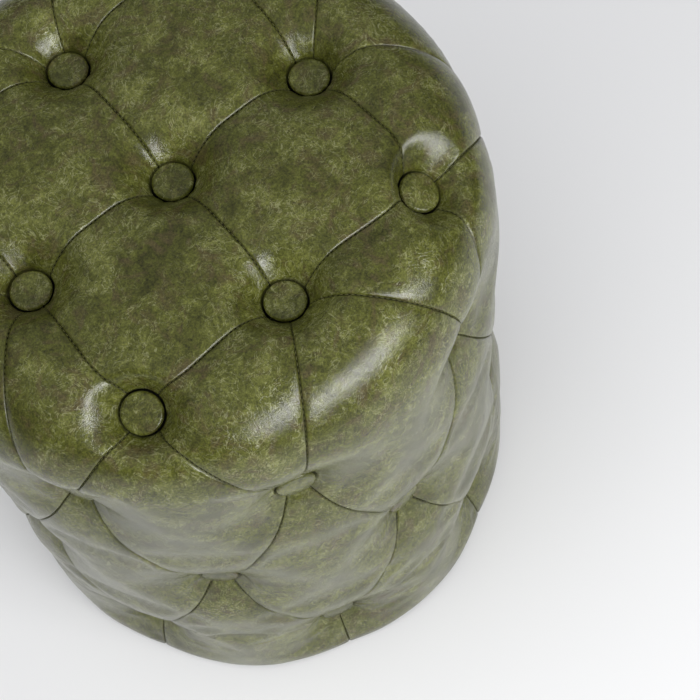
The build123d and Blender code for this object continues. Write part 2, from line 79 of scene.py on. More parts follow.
@dataclass(frozen=True)
class Drum:
    """Envelope of revolution that the crowns of the panels touch, in mm."""

    height: float = 450.0
    radius: float = 190.0
    rim: float = 62.0

    @property
    def flat(self) -> float:
        """Radius of the level part of the top."""
        return self.radius - self.rim

    @property
    def rim_level(self) -> float:
        """Height at which the rim turns into the side."""
        return self.height - self.rim

    @property
    def side_start(self) -> float:
        """Path length at which the side starts."""
        return self.flat + self.rim * math.pi / 2

    def side_path(self, z: float) -> float:
        """Path length down to a height on the side."""
        return self.side_start + self.rim_level - z

    def section(self, path: np.ndarray) -> tuple[np.ndarray, np.ndarray, np.ndarray, np.ndarray]:
        """Section of the drum.

        Args:
            path: path lengths from the middle of the top.

        Returns:
            Radius, height, and the outward and upward shares of the normal.
        """
        path = np.asarray(path, float)
        turn = np.clip((path - self.flat) / self.rim, 0.0, math.pi / 2)
        past = np.maximum(path - self.side_start, 0.0)
        r = np.minimum(path, self.flat) + self.rim * np.sin(turn)
        z = self.rim_level + self.rim * np.cos(turn) - past
        return r, z, np.sin(turn), np.cos(turn)

    def surface(self, path: np.ndarray, turn: np.ndarray) -> tuple[np.ndarray, np.ndarray]:
        """Points and normals on the drum.

        Args:
            path: path lengths.
            turn: azimuths in radians.

        Returns:
            Points and outward normals, with the coordinates along the last axis.
        """
        r, z, out, up = self.section(path)
        points = np.stack([r * np.cos(turn), r * np.sin(turn), z], axis=-1)
        normals = np.stack([out * np.cos(turn), out * np.sin(turn), up], axis=-1)
        return points, normals

    def at(self, place: Place) -> tuple[np.ndarray, np.ndarray]:
        """Point and normal at one place."""
        return self.surface(np.array(place.path), np.array(math.radians(place.azimuth)))

    def place_of(self, points: np.ndarray) -> tuple[np.ndarray, np.ndarray]:
        """Path lengths and azimuths of the spots on the drum nearest to points under it.

        Args:
            points: points in mm.

        Returns:
            Path lengths in mm and azimuths in radians.
        """
        r = np.hypot(points[..., 0], points[..., 1])
        z = points[..., 2]
        over_rim = self.flat + self.rim * np.arctan2(r - self.flat, z - self.rim_level)
        path = np.where(r <= self.flat, r, over_rim)
        path = np.where(z <= self.rim_level, self.side_start + self.rim_level - z, path)
        return path, np.arctan2(points[..., 1], points[..., 0])

    def is_inside(self, points: np.ndarray) -> np.ndarray:
        """Whether points lie inside the drum.

        Args:
            points: points in mm.

        Returns:
            True for those inside.
        """
        r = np.hypot(points[:, 0], points[:, 1])
        z = points[:, 2]
        in_rim = np.hypot(np.maximum(r - self.flat, 0.0), z - self.rim_level) <= self.rim
        return np.where(z <= self.rim_level, r <= self.radius, in_rim)

    def raised(self, points: np.ndarray, lift: np.ndarray) -> np.ndarray:
        """Points moved along a direction on to the drum.

        Args:
            points: points inside the drum.
            lift: unit direction.

        Returns:
            The points on the drum.
        """
        step = self.radius
        far = np.zeros(len(points))
        for _ in range(HALVINGS):
            held = self.is_inside(points + lift * (far + step)[:, None])
            far = np.where(held, far + step, far)
            step /= 2
        return points + lift * far[:, None]


@dataclass(frozen=True)
class Buttoning:
    """Places and depths of the buttons, in mm and degrees."""

    drum: Drum = Drum()
    pitch: float = 104.0
    corner_tilt: float = 28.0
    columns: int = 8
    first_row_drop: float = 114.0
    last_row_height: float = 60.0
    twist: float = 4.5
    top_depth: float = 27.0
    side_depth: float = 17.0

    def centre(self) -> Place:
        """Button on the axis."""
        return Place(0.0, 0.0)

    def middle(self, quarter: int) -> Place:
        """One of the four top buttons nearest to the middle one."""
        return Place(self.pitch, 90.0 * quarter)

    def corner(self, quarter: int) -> Place:
        """One of the four top buttons that lean out on the rim."""
        tilt = math.radians(self.corner_tilt)
        return Place(self.drum.flat + self.drum.rim * tilt, 90.0 * quarter + 45.0)

    def level(self, row: int) -> float:
        """Height of a row of side buttons."""
        first = self.drum.height - self.first_row_drop
        return first + (self.last_row_height - first) * row / 2

    def side(self, row: int, column: int) -> Place:
        """Side button; the first and third rows stand half a step round.

        Args:
            row: row from the top, 0 to 2.
            column: column round the drum.

        Returns:
            Its place.
        """
        shift = 0.0 if row == 1 else 0.5
        turn = 360.0 / self.columns * (column + shift) + self.twist
        return Place(self.drum.side_path(self.level(row)), turn)

    def face_depth(self, place: Place) -> float:
        """Depth of a button's face under the drum."""
        up = float(self.drum.section(np.array(place.path))[3])
        return self.side_depth + (self.top_depth - self.side_depth) * up

    def top_places(self) -> list[Place]:
        """All buttons of the top."""
        return [self.centre()] + [f(q) for f in (self.middle, self.corner) for q in range(4)]

    def side_places(self) -> list[Place]:
        """All buttons of the side."""
        return [self.side(row, column) for row in range(3) for column in range(self.columns)]

    def all_places(self) -> list[Place]:
        """All buttons, those of the top first."""
        return self.top_places() + self.side_places()


@dataclass(frozen=True)
class SeamLine:
    """One seam on the drum from button to button, by its length."""

    points: np.ndarray
    runs: np.ndarray

    @property
    def length(self) -> float:
        """Length of the seam."""
        return float(self.runs[-1])

    def at(self, run: np.ndarray, from_end: bool = False) -> np.ndarray:
        """Points at distances along the seam, from its start or from its end."""
        run = self.length - run if from_end else run
        return np.stack([np.interp(run, self.runs, self.points[:, k]) for k in range(3)], axis=-1)


@dataclass(frozen=True)
class Dimple:
    """How a button pulls the cover in: the edge of its well, the reach of the pull and how fast it fades."""

    well: float = 14.2
    wall: float = 0.8
    lip: float = 0.05
    dark: tuple[float, float] = (0.9, 0.1)  # inside the well's edge, from painted black shade to bare leather
    top_reach: tuple[float, float] = (31.0, 26.0)  # along a seam, and on a crown
    side_reach: tuple[float, float] = (54.0, 50.0)
    fade: tuple[float, float] = (2.1, 2.4)  # on the side, and on the top

    def share(self, far: np.ndarray, up: float, on_crown: bool) -> np.ndarray:
        """Share of a button's depth at a distance from its axis.

        Args:
            far: distances.
            up: 1 for a button on the top to 0 for one on the side.
            on_crown: whether on a panel's crown or along a seam.

        Returns:
            The shares.
        """
        reach = self.side_reach[on_crown] + (self.top_reach[on_crown] - self.side_reach[on_crown]) * up
        fade = self.fade[0] + (self.fade[1] - self.fade[0]) * up
        return np.clip(1 - (far - self.well) / reach, 0.0, 1.0) ** fade


@dataclass(frozen=True)
class Filling:
    """Gathers that run out from the buttons, and the lumps of hand filling, in mm."""

    gather: float = 0.55
    counts: tuple[int, ...] = (6, 9, 13)
    weights: tuple[float, float] = (0.3, 0.8)
    zero: tuple[float, float, float] = (0.3, 0.1, 0.95)  # gathers are counted from a line square to this
    reach: float = 60.0
    fade: float = 9.0
    seam_fade: float = 5.0
    seed: int = 7
    unevenness: float = 1.2
    lumps: tuple[float, float] = (62.0, 23.0)
    small_share: float = 0.4
    small_shift: tuple[float, float, float] = (9.0, 4.0, 2.0)

    def lump(self, point: Vector) -> float:
        """How far the filling bulges at a point, as a share of the unevenness."""
        wide, small = self.lumps
        return noise.noise(point / wide) + self.small_share * noise.noise(point / small + Vector(self.small_shift))


@dataclass
class Panel:
    """One padded panel as grids over the drum, and the rows and columns that its cloth is worked out on."""

    zone: Zone
    on_drum: np.ndarray
    normal: np.ndarray
    depth: np.ndarray
    crown: np.ndarray
    edge: np.ndarray
    marks: tuple[np.ndarray, np.ndarray]

    def points(self) -> np.ndarray:
        """Front of the panel in mm."""
        return self.on_drum - self.normal * self.depth[..., None]

    def coarse(self, pitch: float) -> tuple[np.ndarray, np.ndarray]:
        """Rows and columns that stand a pitch or more apart.

        Args:
            pitch: least distance in mm.

        Returns:
            Numbers of the rows and of the columns.
        """
        picked = []
        for mark in self.marks:
            keep = [0]
            for n in range(1, len(mark) - 1):
                if min(mark[n] - mark[keep[-1]], mark[-1] - mark[n]) >= pitch:
                    keep.append(n)
            picked.append(np.array(keep + [len(mark) - 1]))
        return picked[0], picked[1]


def fan(first: np.ndarray, last: np.ndarray, share: np.ndarray, centre: np.ndarray) -> np.ndarray:
    """Points on arcs round a button.

    Args:
        first: points on one seam.
        last: points on the other seam, as far from the button.
        share: 0 on the first seam to 1 on the last.
        centre: the button.

    Returns:
        The points.
    """
    a, b = first - centre, last - centre
    long_a, long_b = (np.maximum(np.linalg.norm(v, axis=-1), TINY) for v in (a, b))
    angle = np.arccos(np.clip((a * b).sum(axis=-1) / (long_a * long_b), -MOST_COSINE, MOST_COSINE))
    whole = np.maximum(np.sin(angle), LEAST_SINE)
    weight_a = np.sin((1 - share) * angle) / whole
    weight_b = np.sin(share * angle) / whole
    return centre + a * weight_a[..., None] + b * weight_b[..., None]


def grid_faces(index: np.ndarray) -> list[tuple[int, ...]]:
    """Faces of a grid of point numbers."""
    corners = (index[:-1, :-1], index[1:, :-1], index[1:, 1:], index[:-1, 1:])
    return [tuple(map(int, face)) for face in zip(*[c.ravel() for c in corners])]


def ease(value: np.ndarray, low: float, high: float) -> np.ndarray:
    """Smooth step from 0 at low to 1 at high."""
    t = np.clip((value - low) / (high - low), 0.0, 1.0)
    return t * t * (3 - 2 * t)


def spline(values: np.ndarray, knots: np.ndarray, at: np.ndarray) -> np.ndarray:
    """Smooth curve through values along the first axis.

    Args:
        values: values at the knots.
        knots: rising places of the values.
        at: places to read.

    Returns:
        The values there.
    """
    step = np.diff(knots)
    slope = np.diff(values, axis=0) / step[:, None]
    inner = (slope[:-1] * step[1:, None] + slope[1:] * step[:-1, None]) / (step[:-1] + step[1:])[:, None]
    lean = np.concatenate([slope[:1], inner, slope[-1:]])
    n = np.clip(np.searchsorted(knots, at, side="right") - 1, 0, len(step) - 1)
    t = ((at - knots[n]) / step[n])[:, None]
    wide = step[n][:, None]
    return (values[n] * (1 + 2 * t) * (1 - t) ** 2 + lean[n] * wide * t * (1 - t) ** 2
            + values[n + 1] * t * t * (3 - 2 * t) + lean[n + 1] * wide * t * t * (t - 1))


@dataclass(eq=False)
class TuftedCover:
    """Padded panels of the cover, sewn along seams and pulled in by the buttons, in mm."""

    buttons: Buttoning = Buttoning()
    dimple: Dimple = Dimple()
    filling: Filling = Filling()
    seam_depth: float = 5.0
    top_seam_depth: float = 9.0
    side_crown: float = 3.8
    top_crown: float = 6.0
    hem_depth: float = 6.0
    hem_crown: float = 4.0
    hem_level: float = 8.0
    hem_roll: float = 1.8
    hem_tuck: float = 9.0
    well_drop: tuple[float, float] = (1.7, 0.5)  # on the side, and on the top
    well_floor: float = 7.0
    tip_rise: float = 0.3
    seam_gap: float = 0.15
    gap_fade: float = 3.0
    groove: float = 1.1
    groove_width: float = 0.65
    thread_share: float = 0.6  # how deep in the groove the thread lies
    back_depth: float = 34.0
    fullness: float = 0.8
    skirt_rise: float = 90.0
    axis_from: float = 15.0
    axis_to: float = 42.0
    round_from: float = 24.0
    round_to: float = 46.0
    close: tuple[float, ...] = (0.0, 0.5, 1.1, 1.9, 3.1, 4.9, 7.4, 10.2, 12.4, 13.4, 14.2, 14.9, 16.0, 17.5, 19.5, 22.0)
    far_steps: int = 8
    hem_steps: int = 7
    seam_points: int = 361
    stitch_points: tuple[int, int] = (90, 40)  # from button to button, and down to the hem
    stitch_clear: tuple[float, float] = (1.5, 1.0)  # from a well, and from the hem
    cloth_pitch: float = 3.9
    cloth_held: float = 2.5  # past the edge of a well
    cloth_digits: int = 2
    cloth_quality: int = 5
    cloth_bending: float = 1.5
    cloth_frames: int = 16
    cloth_pressure: float = 5.0
    cloth_slack: float = 0.008
    cloth_cap: float = 5.0
    # width of the painted shade along each seam
    seam_shade_width: float = 0.75

    @property
    def drum(self) -> Drum:
        """Drum that the cover goes over."""
        return self.buttons.drum

    def spots(self) -> np.ndarray:
        """Where the axes of all buttons meet the drum."""
        return np.array([self.drum.at(place)[0] for place in self.buttons.all_places()])

    def stations(self, length: float) -> np.ndarray:
        """Distances along a seam, closer at its ends and at the edges of the wells.

        Args:
            length: length of the seam.

        Returns:
            The distances.
        """
        rest = np.linspace(self.close[-1], length / 2, self.far_steps + 1)[1:]
        half = np.concatenate([self.close, rest])
        return np.concatenate([half, length - half[-2::-1]])

    @lru_cache(maxsize=None)
    def seam(self, first: Place, last: Place) -> SeamLine:
        """Seam in the plane of two buttons and of the mean of the drum's normals there.

        Args:
            first: button at its start.
            last: button at its end.

        Returns:
            The seam.
        """
        start, start_normal = self.drum.at(first)
        end, end_normal = self.drum.at(last)
        lift = start_normal + end_normal
        if max(first.path, last.path) <= self.drum.side_start:
            lift = np.array([0.0, 0.0, 1.0])
        lift = lift / np.linalg.norm(lift)
        chord = np.linspace(0.0, 1.0, self.seam_points)[:, None]
        points = self.drum.raised(start + (end - start) * chord, lift)
        runs = np.concatenate([[0.0], np.cumsum(np.linalg.norm(np.diff(points, axis=0), axis=1))])
        return SeamLine(points, runs)

    def pulled(self, points: np.ndarray, normals: np.ndarray, tips: list[Place]) -> tuple[np.ndarray, np.ndarray]:
        """Depths of the seams and of the crowns at points of the drum.

        Args:
            points: points on the drum.
            normals: its normals there.
            tips: buttons that hold the panel.

        Returns:
            The two depths.
        """
        up = np.clip(normals[..., 2], 0.0, 1.0)
        foot = ease(-points[..., 2], -self.buttons.level(2), -self.hem_level)
        rest = self.seam_depth + (self.top_seam_depth - self.seam_depth) * up
        rest = rest + (self.hem_depth - self.seam_depth) * foot
        crown = self.side_crown + (self.top_crown - self.side_crown) * up
        crown = crown + (self.hem_crown - self.side_crown) * foot
        seams, crowns = rest, crown
        for tip in tips:
            centre, axis = self.drum.at(tip)
            far = np.linalg.norm(points - centre, axis=-1)
            side_drop, top_drop = self.well_drop
            held = self.buttons.face_depth(tip) + side_drop + (top_drop - side_drop) * float(axis[2])
            along, across = (self.dimple.share(far, float(axis[2]), on_crown) for on_crown in (False, True))
            seams = np.maximum(seams, rest + (held - rest) * along)
            crowns = np.maximum(crowns, crown + (held - self.tip_rise - crown) * across)
        return seams, crowns

    def settle(self, zone: Zone, flat: np.ndarray, pillow: np.ndarray, edge: np.ndarray, tips: list[Place],
               marks: tuple[np.ndarray, np.ndarray]) -> Panel:
        """Panel from its grid: crown, seams and the groove along its edge.

        Args:
            zone: zone of the cover.
            flat: grid of points near the drum.
            pillow: 0 at the seams to 1 on the crown.
            edge: distance to the nearest seam.
            tips: buttons at the panel's corners.
            marks: distances of the rows and of the columns.

        Returns:
            The panel.
        """
        path, turn = self.drum.place_of(flat)
        on_drum, normal = self.drum.surface(path, turn)
        seams, crowns = self.pulled(on_drum, normal, tips)
        depth = seams * (1 - pillow) + crowns * pillow
        depth = depth + self.groove * np.exp(-((edge / self.groove_width) ** 2))
        on_drum, normal = self.turned_to(on_drum, normal, tips)
        return Panel(zone, on_drum, normal, depth, pillow, edge, marks)

    def turned_to(self, points: np.ndarray, normals: np.ndarray, tips: list[Place]) -> tuple[np.ndarray, np.ndarray]:
        """Points and normals of the drum, flattened and turned to a button's axis near it, so its well is round.

        Args:
            points: points on the drum.
            normals: its normals there.
            tips: buttons that hold the panel.

        Returns:
            The points and normals.
        """
        base, lean = points, normals
        for tip in tips:
            centre, axis = self.drum.at(tip)
            near = 1 - ease(np.linalg.norm(points - centre, axis=-1), self.axis_from, self.axis_to)[..., None]
            base = base - axis * ((points - centre) @ axis)[..., None] * near
            lean = lean * (1 - near) + axis * near
        return base, lean / np.linalg.norm(lean, axis=-1, keepdims=True)

    def ringed(self, grid: np.ndarray, rings: np.ndarray, far: np.ndarray) -> np.ndarray:
        """Grid that changes over to rings near a button.

        Args:
            grid: points of the panel.
            rings: its points on rings round the button.
            far: distances from the button.

        Returns:
            The points.
        """
        keep = ease(far, self.round_from, self.round_to)[..., None]
        return grid * keep + rings * (1 - keep)

    def rounded(self, grid: np.ndarray, a: np.ndarray, b: np.ndarray, first: SeamLine, last: SeamLine,
                ends: tuple[bool, bool], centre: Place) -> np.ndarray:
        """Grid whose lines run in rings round the button at one corner.

        Args:
            grid: points of the panel.
            a: distances from the corner along the first seam.
            b: distances from the corner along the last seam.
            first: seam along the rows.
            last: seam along the columns.
            ends: whether each seam starts from its end at this corner.
            centre: button at the corner.

        Returns:
            The points.
        """
        a, b = np.meshgrid(a, b, indexing="ij")
        ring = np.maximum(a, b)
        share = np.where(a >= b, 0.5 * b / np.maximum(a, TINY), 1 - 0.5 * a / np.maximum(b, TINY))
        turned = fan(first.at(ring, ends[0]), last.at(ring, ends[1]), share, self.drum.at(centre)[0])
        return self.ringed(grid, turned, ring)

    def quad(self, zone: Zone, tip: Place, left: Place, right: Place, foot: Place) -> Panel:
        """Diamond between four buttons.

        Args:
            zone: zone of the cover.
            tip: upper button.
            left: button at the left.
            right: button at the right.
            foot: lower button.

        Returns:
            The panel.
        """
        sides = [self.seam(tip, right), self.seam(left, foot), self.seam(tip, left), self.seam(right, foot)]
        runs = [self.stations(s.length) for s in sides]
        back = [s.length - r for s, r in zip(sides, runs)]
        shares = [r / s.length for r, s in zip(runs, sides)]
        u, v = np.meshgrid((shares[0] + shares[1]) / 2, (shares[2] + shares[3]) / 2, indexing="ij")
        low, high, start, end = (s.at(r) for s, r in zip(sides, runs))
        a, b = u[..., None], v[..., None]
        corners = (1 - a) * (1 - b) * low[0] + a * (1 - b) * low[-1] + (1 - a) * b * high[0] + a * b * high[-1]
        flat = (1 - b) * low[:, None] + b * high[:, None] + (1 - a) * start[None] + a * end[None] - corners
        flat = self.rounded(flat, runs[0], runs[2], sides[0], sides[2], (False, False), tip)
        flat = self.rounded(flat, back[0], runs[3], sides[0], sides[3], (True, False), right)
        flat = self.rounded(flat, runs[1], back[2], sides[1], sides[2], (False, True), left)
        flat = self.rounded(flat, back[1], back[3], sides[1], sides[3], (True, True), foot)
        # the crown is 1 in the middle of the diamond
        pillow = (16 * u * (1 - u) * v * (1 - v)) ** self.fullness
        edge = np.minimum(np.minimum(runs[0], back[0])[:, None], np.minimum(runs[2], back[2])[None, :])
        return self.settle(zone, flat, pillow, edge, [tip, left, right, foot], (runs[0], runs[2]))

    def wedge(self, left: Place, right: Place, foot: Place) -> Panel:
        """Triangle between two top buttons and one of the first side row.

        Args:
            left: top button at the left.
            right: top button at the right.
            foot: side button.

        Returns:
            The panel.
        """
        sides = [self.seam(left, right), self.seam(left, foot), self.seam(right, foot)]
        runs = [self.stations(s.length) for s in sides]
        back = [s.length - r for s, r in zip(sides, runs)]
        shares = [r / s.length for r, s in zip(runs, sides)]
        u, v = np.meshgrid(shares[0], (shares[1] + shares[2]) / 2, indexing="ij")
        low, start, end = (s.at(r) for s, r in zip(sides, runs))
        a, b = u[..., None], v[..., None]
        corners = (1 - a) * (1 - b) * low[0] + a * (1 - b) * low[-1] + b * start[-1]
        flat = (1 - b) * low[:, None] + b * start[-1] + (1 - a) * start[None] + a * end[None] - corners
        flat = self.rounded(flat, runs[0], runs[1], sides[0], sides[1], (False, False), left)
        flat = self.rounded(flat, back[0], runs[2], sides[0], sides[2], (True, False), right)
        flat = self.ringed(flat, fan(start[None], end[None], u, self.drum.at(foot)[0]), back[1][None])
        # the crown is 1 a third of the way down the triangle
        pillow = (27 * v * u * (1 - u) * (1 - v) ** 2) ** self.fullness
        width = np.linalg.norm(start - end, axis=-1)[None]
        edge = np.minimum(np.minimum(u, 1 - u) * width, runs[1][None])
        return self.settle(Zone.RIM_SMALL, flat, pillow, edge, [left, right, foot], (runs[0], runs[1]))

    def skirt(self, tip: Place, left: Place, right: Place) -> Panel:
        """Base panel from a second row button over two third row buttons to the hem.

        Args:
            tip: second row button.
            left: third row button at the left.
            right: third row button at the right.

        Returns:
            The panel.
        """
        level = self.buttons.level(2)
        rest = np.linspace(self.close[-1], level - self.hem_level, self.hem_steps)[1:]
        below = np.concatenate([self.close[1:], rest])
        seams = [self.seam(tip, left), self.seam(tip, right)]
        runs = self.stations(seams[0].length)
        columns = [np.concatenate([seam.at(runs), self.upright(button, below)])
                   for button, seam in zip((left, right), seams)]
        width = np.linalg.norm(columns[0] - columns[1], axis=1)
        across = self.stations(float(width[-1]))
        u = np.broadcast_to((across / width[-1])[:, None], (len(across), len(width)))
        flat = columns[0][None] * (1 - u[..., None]) + columns[1][None] * u[..., None]
        from_tip = np.concatenate([runs, seams[0].length + below])
        turned = fan(columns[0][None], columns[1][None], u, self.drum.at(tip)[0])
        flat = self.ringed(flat, turned, from_tip[None])
        along = np.concatenate([runs - seams[0].length, below])
        for button, seam, inward in ((left, seams[0], across), (right, seams[1], across[-1] - across)):
            a, b = np.meshgrid(inward, along, indexing="ij")
            ring = np.maximum(np.maximum(a, np.abs(b)), TINY)
            share = np.where(np.abs(b) < a, 0.5 + 0.25 * b / ring,
                             np.where(b < 0, 0.25 * a / ring, 1 - 0.25 * a / ring))
            turned = fan(seam.at(ring, True), self.upright(button, ring), share, self.drum.at(button)[0])
            flat = self.ringed(flat, turned, ring)
        pillow = (4 * u * (1 - u)) ** self.fullness * ease(from_tip, 0.0, self.skirt_rise)[None]
        edge = np.minimum(u, 1 - u) * width[None]
        return self.settle(Zone.BASE, flat, pillow, edge, [tip, left, right], (across, from_tip))

    def upright(self, button: Place, below: np.ndarray) -> np.ndarray:
        """Points on the drum straight below a button."""
        turn = np.full(below.shape, math.radians(button.azimuth))
        return self.drum.surface(button.path + below, turn)[0]

    def layout(self) -> list[Panel]:
        """All panels of the cover, zone by zone.

        Returns:
            The panels.
        """
        b = self.buttons
        panels = [self.quad(Zone.TOP, b.centre(), b.middle(q + 1), b.middle(q), b.corner(q)) for q in range(4)]
        for q in range(4):
            panels.append(self.wedge(b.corner(q), b.middle(q), b.side(0, 2 * q)))
            panels.append(self.wedge(b.middle(q + 1), b.corner(q), b.side(0, 2 * q + 1)))
        for q in range(4):
            c = 2 * q
            panels.append(self.quad(Zone.RIM_LARGE, b.middle(q), b.side(0, c), b.side(0, c - 1), b.side(1, c)))
            panels.append(self.quad(Zone.RIM_LARGE, b.corner(q), b.side(0, c + 1), b.side(0, c), b.side(1, c + 1)))
        for c in range(b.columns):
            panels.append(self.quad(Zone.SIDE, b.side(0, c), b.side(1, c + 1), b.side(1, c), b.side(2, c)))
        for c in range(b.columns):
            panels.append(self.skirt(b.side(1, c), b.side(2, c), b.side(2, c - 1)))
        return panels

    def swell(self, panels: list[Panel]) -> None:
        """Lets the slack cloth of every panel swell under pressure, held at its seams and round its buttons.

        Args:
            panels: panels, whose depths change.
        """
        axes = self.spots()
        points, faces, held, grids, start = [], [], [], [], 0
        for panel in panels:
            rows, cols = panel.coarse(self.cloth_pitch)
            grid = panel.points()[np.ix_(rows, cols)]
            spots = panel.on_drum[np.ix_(rows, cols)].reshape(-1, 3)
            index = start + np.arange(len(spots)).reshape(len(rows), len(cols))
            faces += grid_faces(index)
            pins = np.zeros(index.shape, bool)
            pins[[0, -1]] = pins[:, [0, -1]] = True
            far = np.linalg.norm(spots[:, None] - axes[None], axis=-1).min(axis=1)
            held.append(pins.ravel() | (far < self.dimple.well + self.cloth_held))
            points.append(grid.reshape(-1, 3))
            grids.append((rows, cols))
            start += len(spots)
        points, held = np.concatenate(points), np.concatenate(held)
        _, first, met = np.unique(np.round(points, self.cloth_digits), axis=0, return_index=True,
                                  return_inverse=True)
        met = met.reshape(-1)
        loops = [tuple(dict.fromkeys(int(met[n]) for n in face)) for face in faces]
        cloth = make_piece("cover_cloth", points[first], [loop for loop in loops if len(loop) > 2])
        group = cloth.vertex_groups.new(name="held")
        group.add([int(n) for n in np.unique(met[held])], 1.0, "REPLACE")
        moved = (self.simulate(cloth) - points[first])[met]
        bpy.data.objects.remove(cloth)
        start = 0
        for panel, (rows, cols) in zip(panels, grids):
            count = len(rows) * len(cols)
            out = (moved[start:start + count].reshape(len(rows), len(cols), 3)
                   * panel.normal[np.ix_(rows, cols)]).sum(axis=-1)
            out = np.clip(out, -self.cloth_cap, self.cloth_cap)
            fine = spline(out, panel.marks[0][rows], panel.marks[0])
            fine = spline(fine.T, panel.marks[1][cols], panel.marks[1]).T
            panel.depth = panel.depth - fine
            start += count
        log.info("cloth moved %.1f to %.1f mm", float(moved.min()), float(moved.max()))

    def simulate(self, cloth: bpy.types.Object) -> np.ndarray:
        """Runs the cloth and reads where its points end.

        Args:
            cloth: mesh with the vertex group of its held points.

        Returns:
            Its points in mm.
        """
        fabric = cloth.modifiers.new("fabric", "CLOTH")
        rules = fabric.settings
        rules.quality = self.cloth_quality
        rules.bending_stiffness = self.cloth_bending
        rules.vertex_group_mass = "held"
        rules.pin_stiffness = 1.0
        rules.shrink_min = -self.cloth_slack
        rules.use_pressure = True
        rules.uniform_pressure_force = self.cloth_pressure
        rules.effector_weights.gravity = 0.0
        fabric.collision_settings.use_collision = False
        fabric.collision_settings.use_self_collision = False
        fabric.point_cache.frame_start = 1
        fabric.point_cache.frame_end = self.cloth_frames
        scene = bpy.context.scene
        for number in range(1, self.cloth_frames + 1):
            scene.frame_set(number)
        shaped = cloth.evaluated_get(bpy.context.evaluated_depsgraph_get()).data
        places = np.empty(len(shaped.vertices) * 3)
        shaped.vertices.foreach_get("co", places)
        scene.frame_set(1)
        return places.reshape(-1, 3) / MM

    def pucker(self, panels: list[Panel]) -> None:
        """Small gathers that run out from the buttons, wells under them, and the unevenness of hand filling.

        Args:
            panels: panels, whose depths change.
        """
        fill, well = self.filling, self.dimple.well
        places = self.buttons.all_places()
        axes = [self.drum.at(place) for place in places]
        faces = [self.buttons.face_depth(place) for place in places]
        rng = np.random.default_rng(fill.seed)
        waves = len(fill.counts)
        folds = [(rng.uniform(0.0, math.tau, waves), rng.uniform(*fill.weights, waves)) for _ in places]
        for panel in panels:
            soft = np.array([fill.lump(Vector(p)) for p in panel.on_drum.reshape(-1, 3)]).reshape(panel.depth.shape)
            panel.depth = panel.depth - fill.unevenness * soft * panel.crown
            for (centre, normal), face, (phases, weights) in zip(axes, faces, folds):
                off = panel.on_drum - centre
                far = np.linalg.norm(off, axis=-1)
                if far.min() > fill.reach:
                    continue
                off = off - normal * (off @ normal)[..., None]
                side = np.cross(normal, fill.zero)
                side /= np.linalg.norm(side)
                angle = np.arctan2(off @ np.cross(normal, side), off @ side)
                fold = sum(w * np.cos(k * angle + a) for w, k, a in zip(weights, fill.counts, phases))
                grip = np.exp(-np.maximum(far - well, 0.0) / fill.fade)
                panel.depth = panel.depth - fill.gather * fold * grip * np.clip(panel.edge / fill.seam_fade, 0.0, 1.0)
                wall = ease(far, well - self.dimple.wall, well - self.dimple.lip)
                panel.depth = panel.depth * wall + (face + self.well_floor) * (1 - wall)

    def folds(self, panel: Panel) -> np.ndarray:
        """Painted shade of the seams and the wells: how near the points of a panel lie to a seam or to a button's well.

        Args:
            panel: panel with its front settled.

        Returns:
            1 along the seams and round the buttons, where black is painted as shade, to 0 in the open.
        """
        far = np.linalg.norm(panel.on_drum[..., None, :] - self.spots(), axis=-1).min(axis=-1)
        black, bare = self.dimple.dark
        # painted shade: a black ring just inside each well's edge
        well = 1 - ease(far, self.dimple.well - black, self.dimple.well - bare)
        return np.maximum(well, 1 - ease(panel.edge, 0.0, self.seam_shade_width))

    def mesh_of(self, panel: Panel) -> tuple[np.ndarray, list[tuple[int, ...]]]:
        """Closed pad of a panel: its front, the walls along its seams and its back.

        Args:
            panel: panel with its front settled.

        Returns:
            Points in mm and faces.
        """
        front = panel.points()
        rows, cols = front.shape[:2]
        index = np.arange(rows * cols).reshape(rows, cols)
        faces = grid_faces(index)
        ring = np.concatenate([index[:, 0], index[-1, 1:], index[-2::-1, -1], index[0, -2:0:-1]])
        points = front.reshape(-1, 3)
        normal = panel.normal.reshape(-1, 3)
        low = panel.on_drum.reshape(-1, 3)[ring] - normal[ring] * self.back_depth
        if panel.zone is Zone.BASE:
            hem = np.isin(ring, index[:, -1])
            low[hem] = points[ring[hem]] - normal[ring[hem]] * self.hem_tuck - np.array([0.0, 0.0, self.hem_roll])
        start, count = len(points), len(ring)
        for n in range(count):
            m = (n + 1) % count
            faces.append((int(ring[m]), int(ring[n]), start + n, start + m))
            faces.append((start + m, start + n, start + count))
        return np.concatenate([points, low, low.mean(axis=0)[None]]), faces

    def part_edges(self, panels: list[Panel]) -> None:
        """Draws each panel back from its seams by half the gap.

        Args:
            panels: panels, whose grids change.
        """
        for panel in panels:
            toward = panel.on_drum.mean(axis=(0, 1)) - panel.on_drum
            toward /= np.linalg.norm(toward, axis=-1, keepdims=True)
            near = np.exp(-panel.edge / self.gap_fade)[..., None]
            panel.on_drum = panel.on_drum + toward * near * self.seam_gap / 2

    def build(self, leather: bpy.types.Material) -> list[bpy.types.Object]:
        """Builds one piece for each zone.

        Args:
            leather: finish of the cover.

        Returns:
            The pieces.
        """
        pieces, panels = [], self.layout()
        self.swell(panels)
        self.pucker(panels)
        self.part_edges(panels)
        for zone in Zone:
            points, faces, folds, start = [], [], [], 0
            for panel in panels:
                if panel.zone is not zone:
                    continue
                p, f = self.mesh_of(panel)
                points.append(p)
                faces += [tuple(i + start for i in face) for face in f]
                # painted shade for each point; the walls and back of every pad get full painted shade
                front = self.folds(panel).ravel()
                folds.append(np.concatenate([front, np.ones(len(p) - len(front))]))
                start += len(p)
            piece = make_piece(f"{zone.value}_padded", np.concatenate(points), faces)
            # the fold attribute carries the painted shade into the leather's colour
            piece.data.attributes.new("fold", "FLOAT", "POINT").data.foreach_set("value", np.concatenate(folds))
            merge_doubles(piece)
            piece.data.materials.append(leather)
            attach(piece, "root")
            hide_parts(zone.value)
            pieces.append(piece)
        return pieces

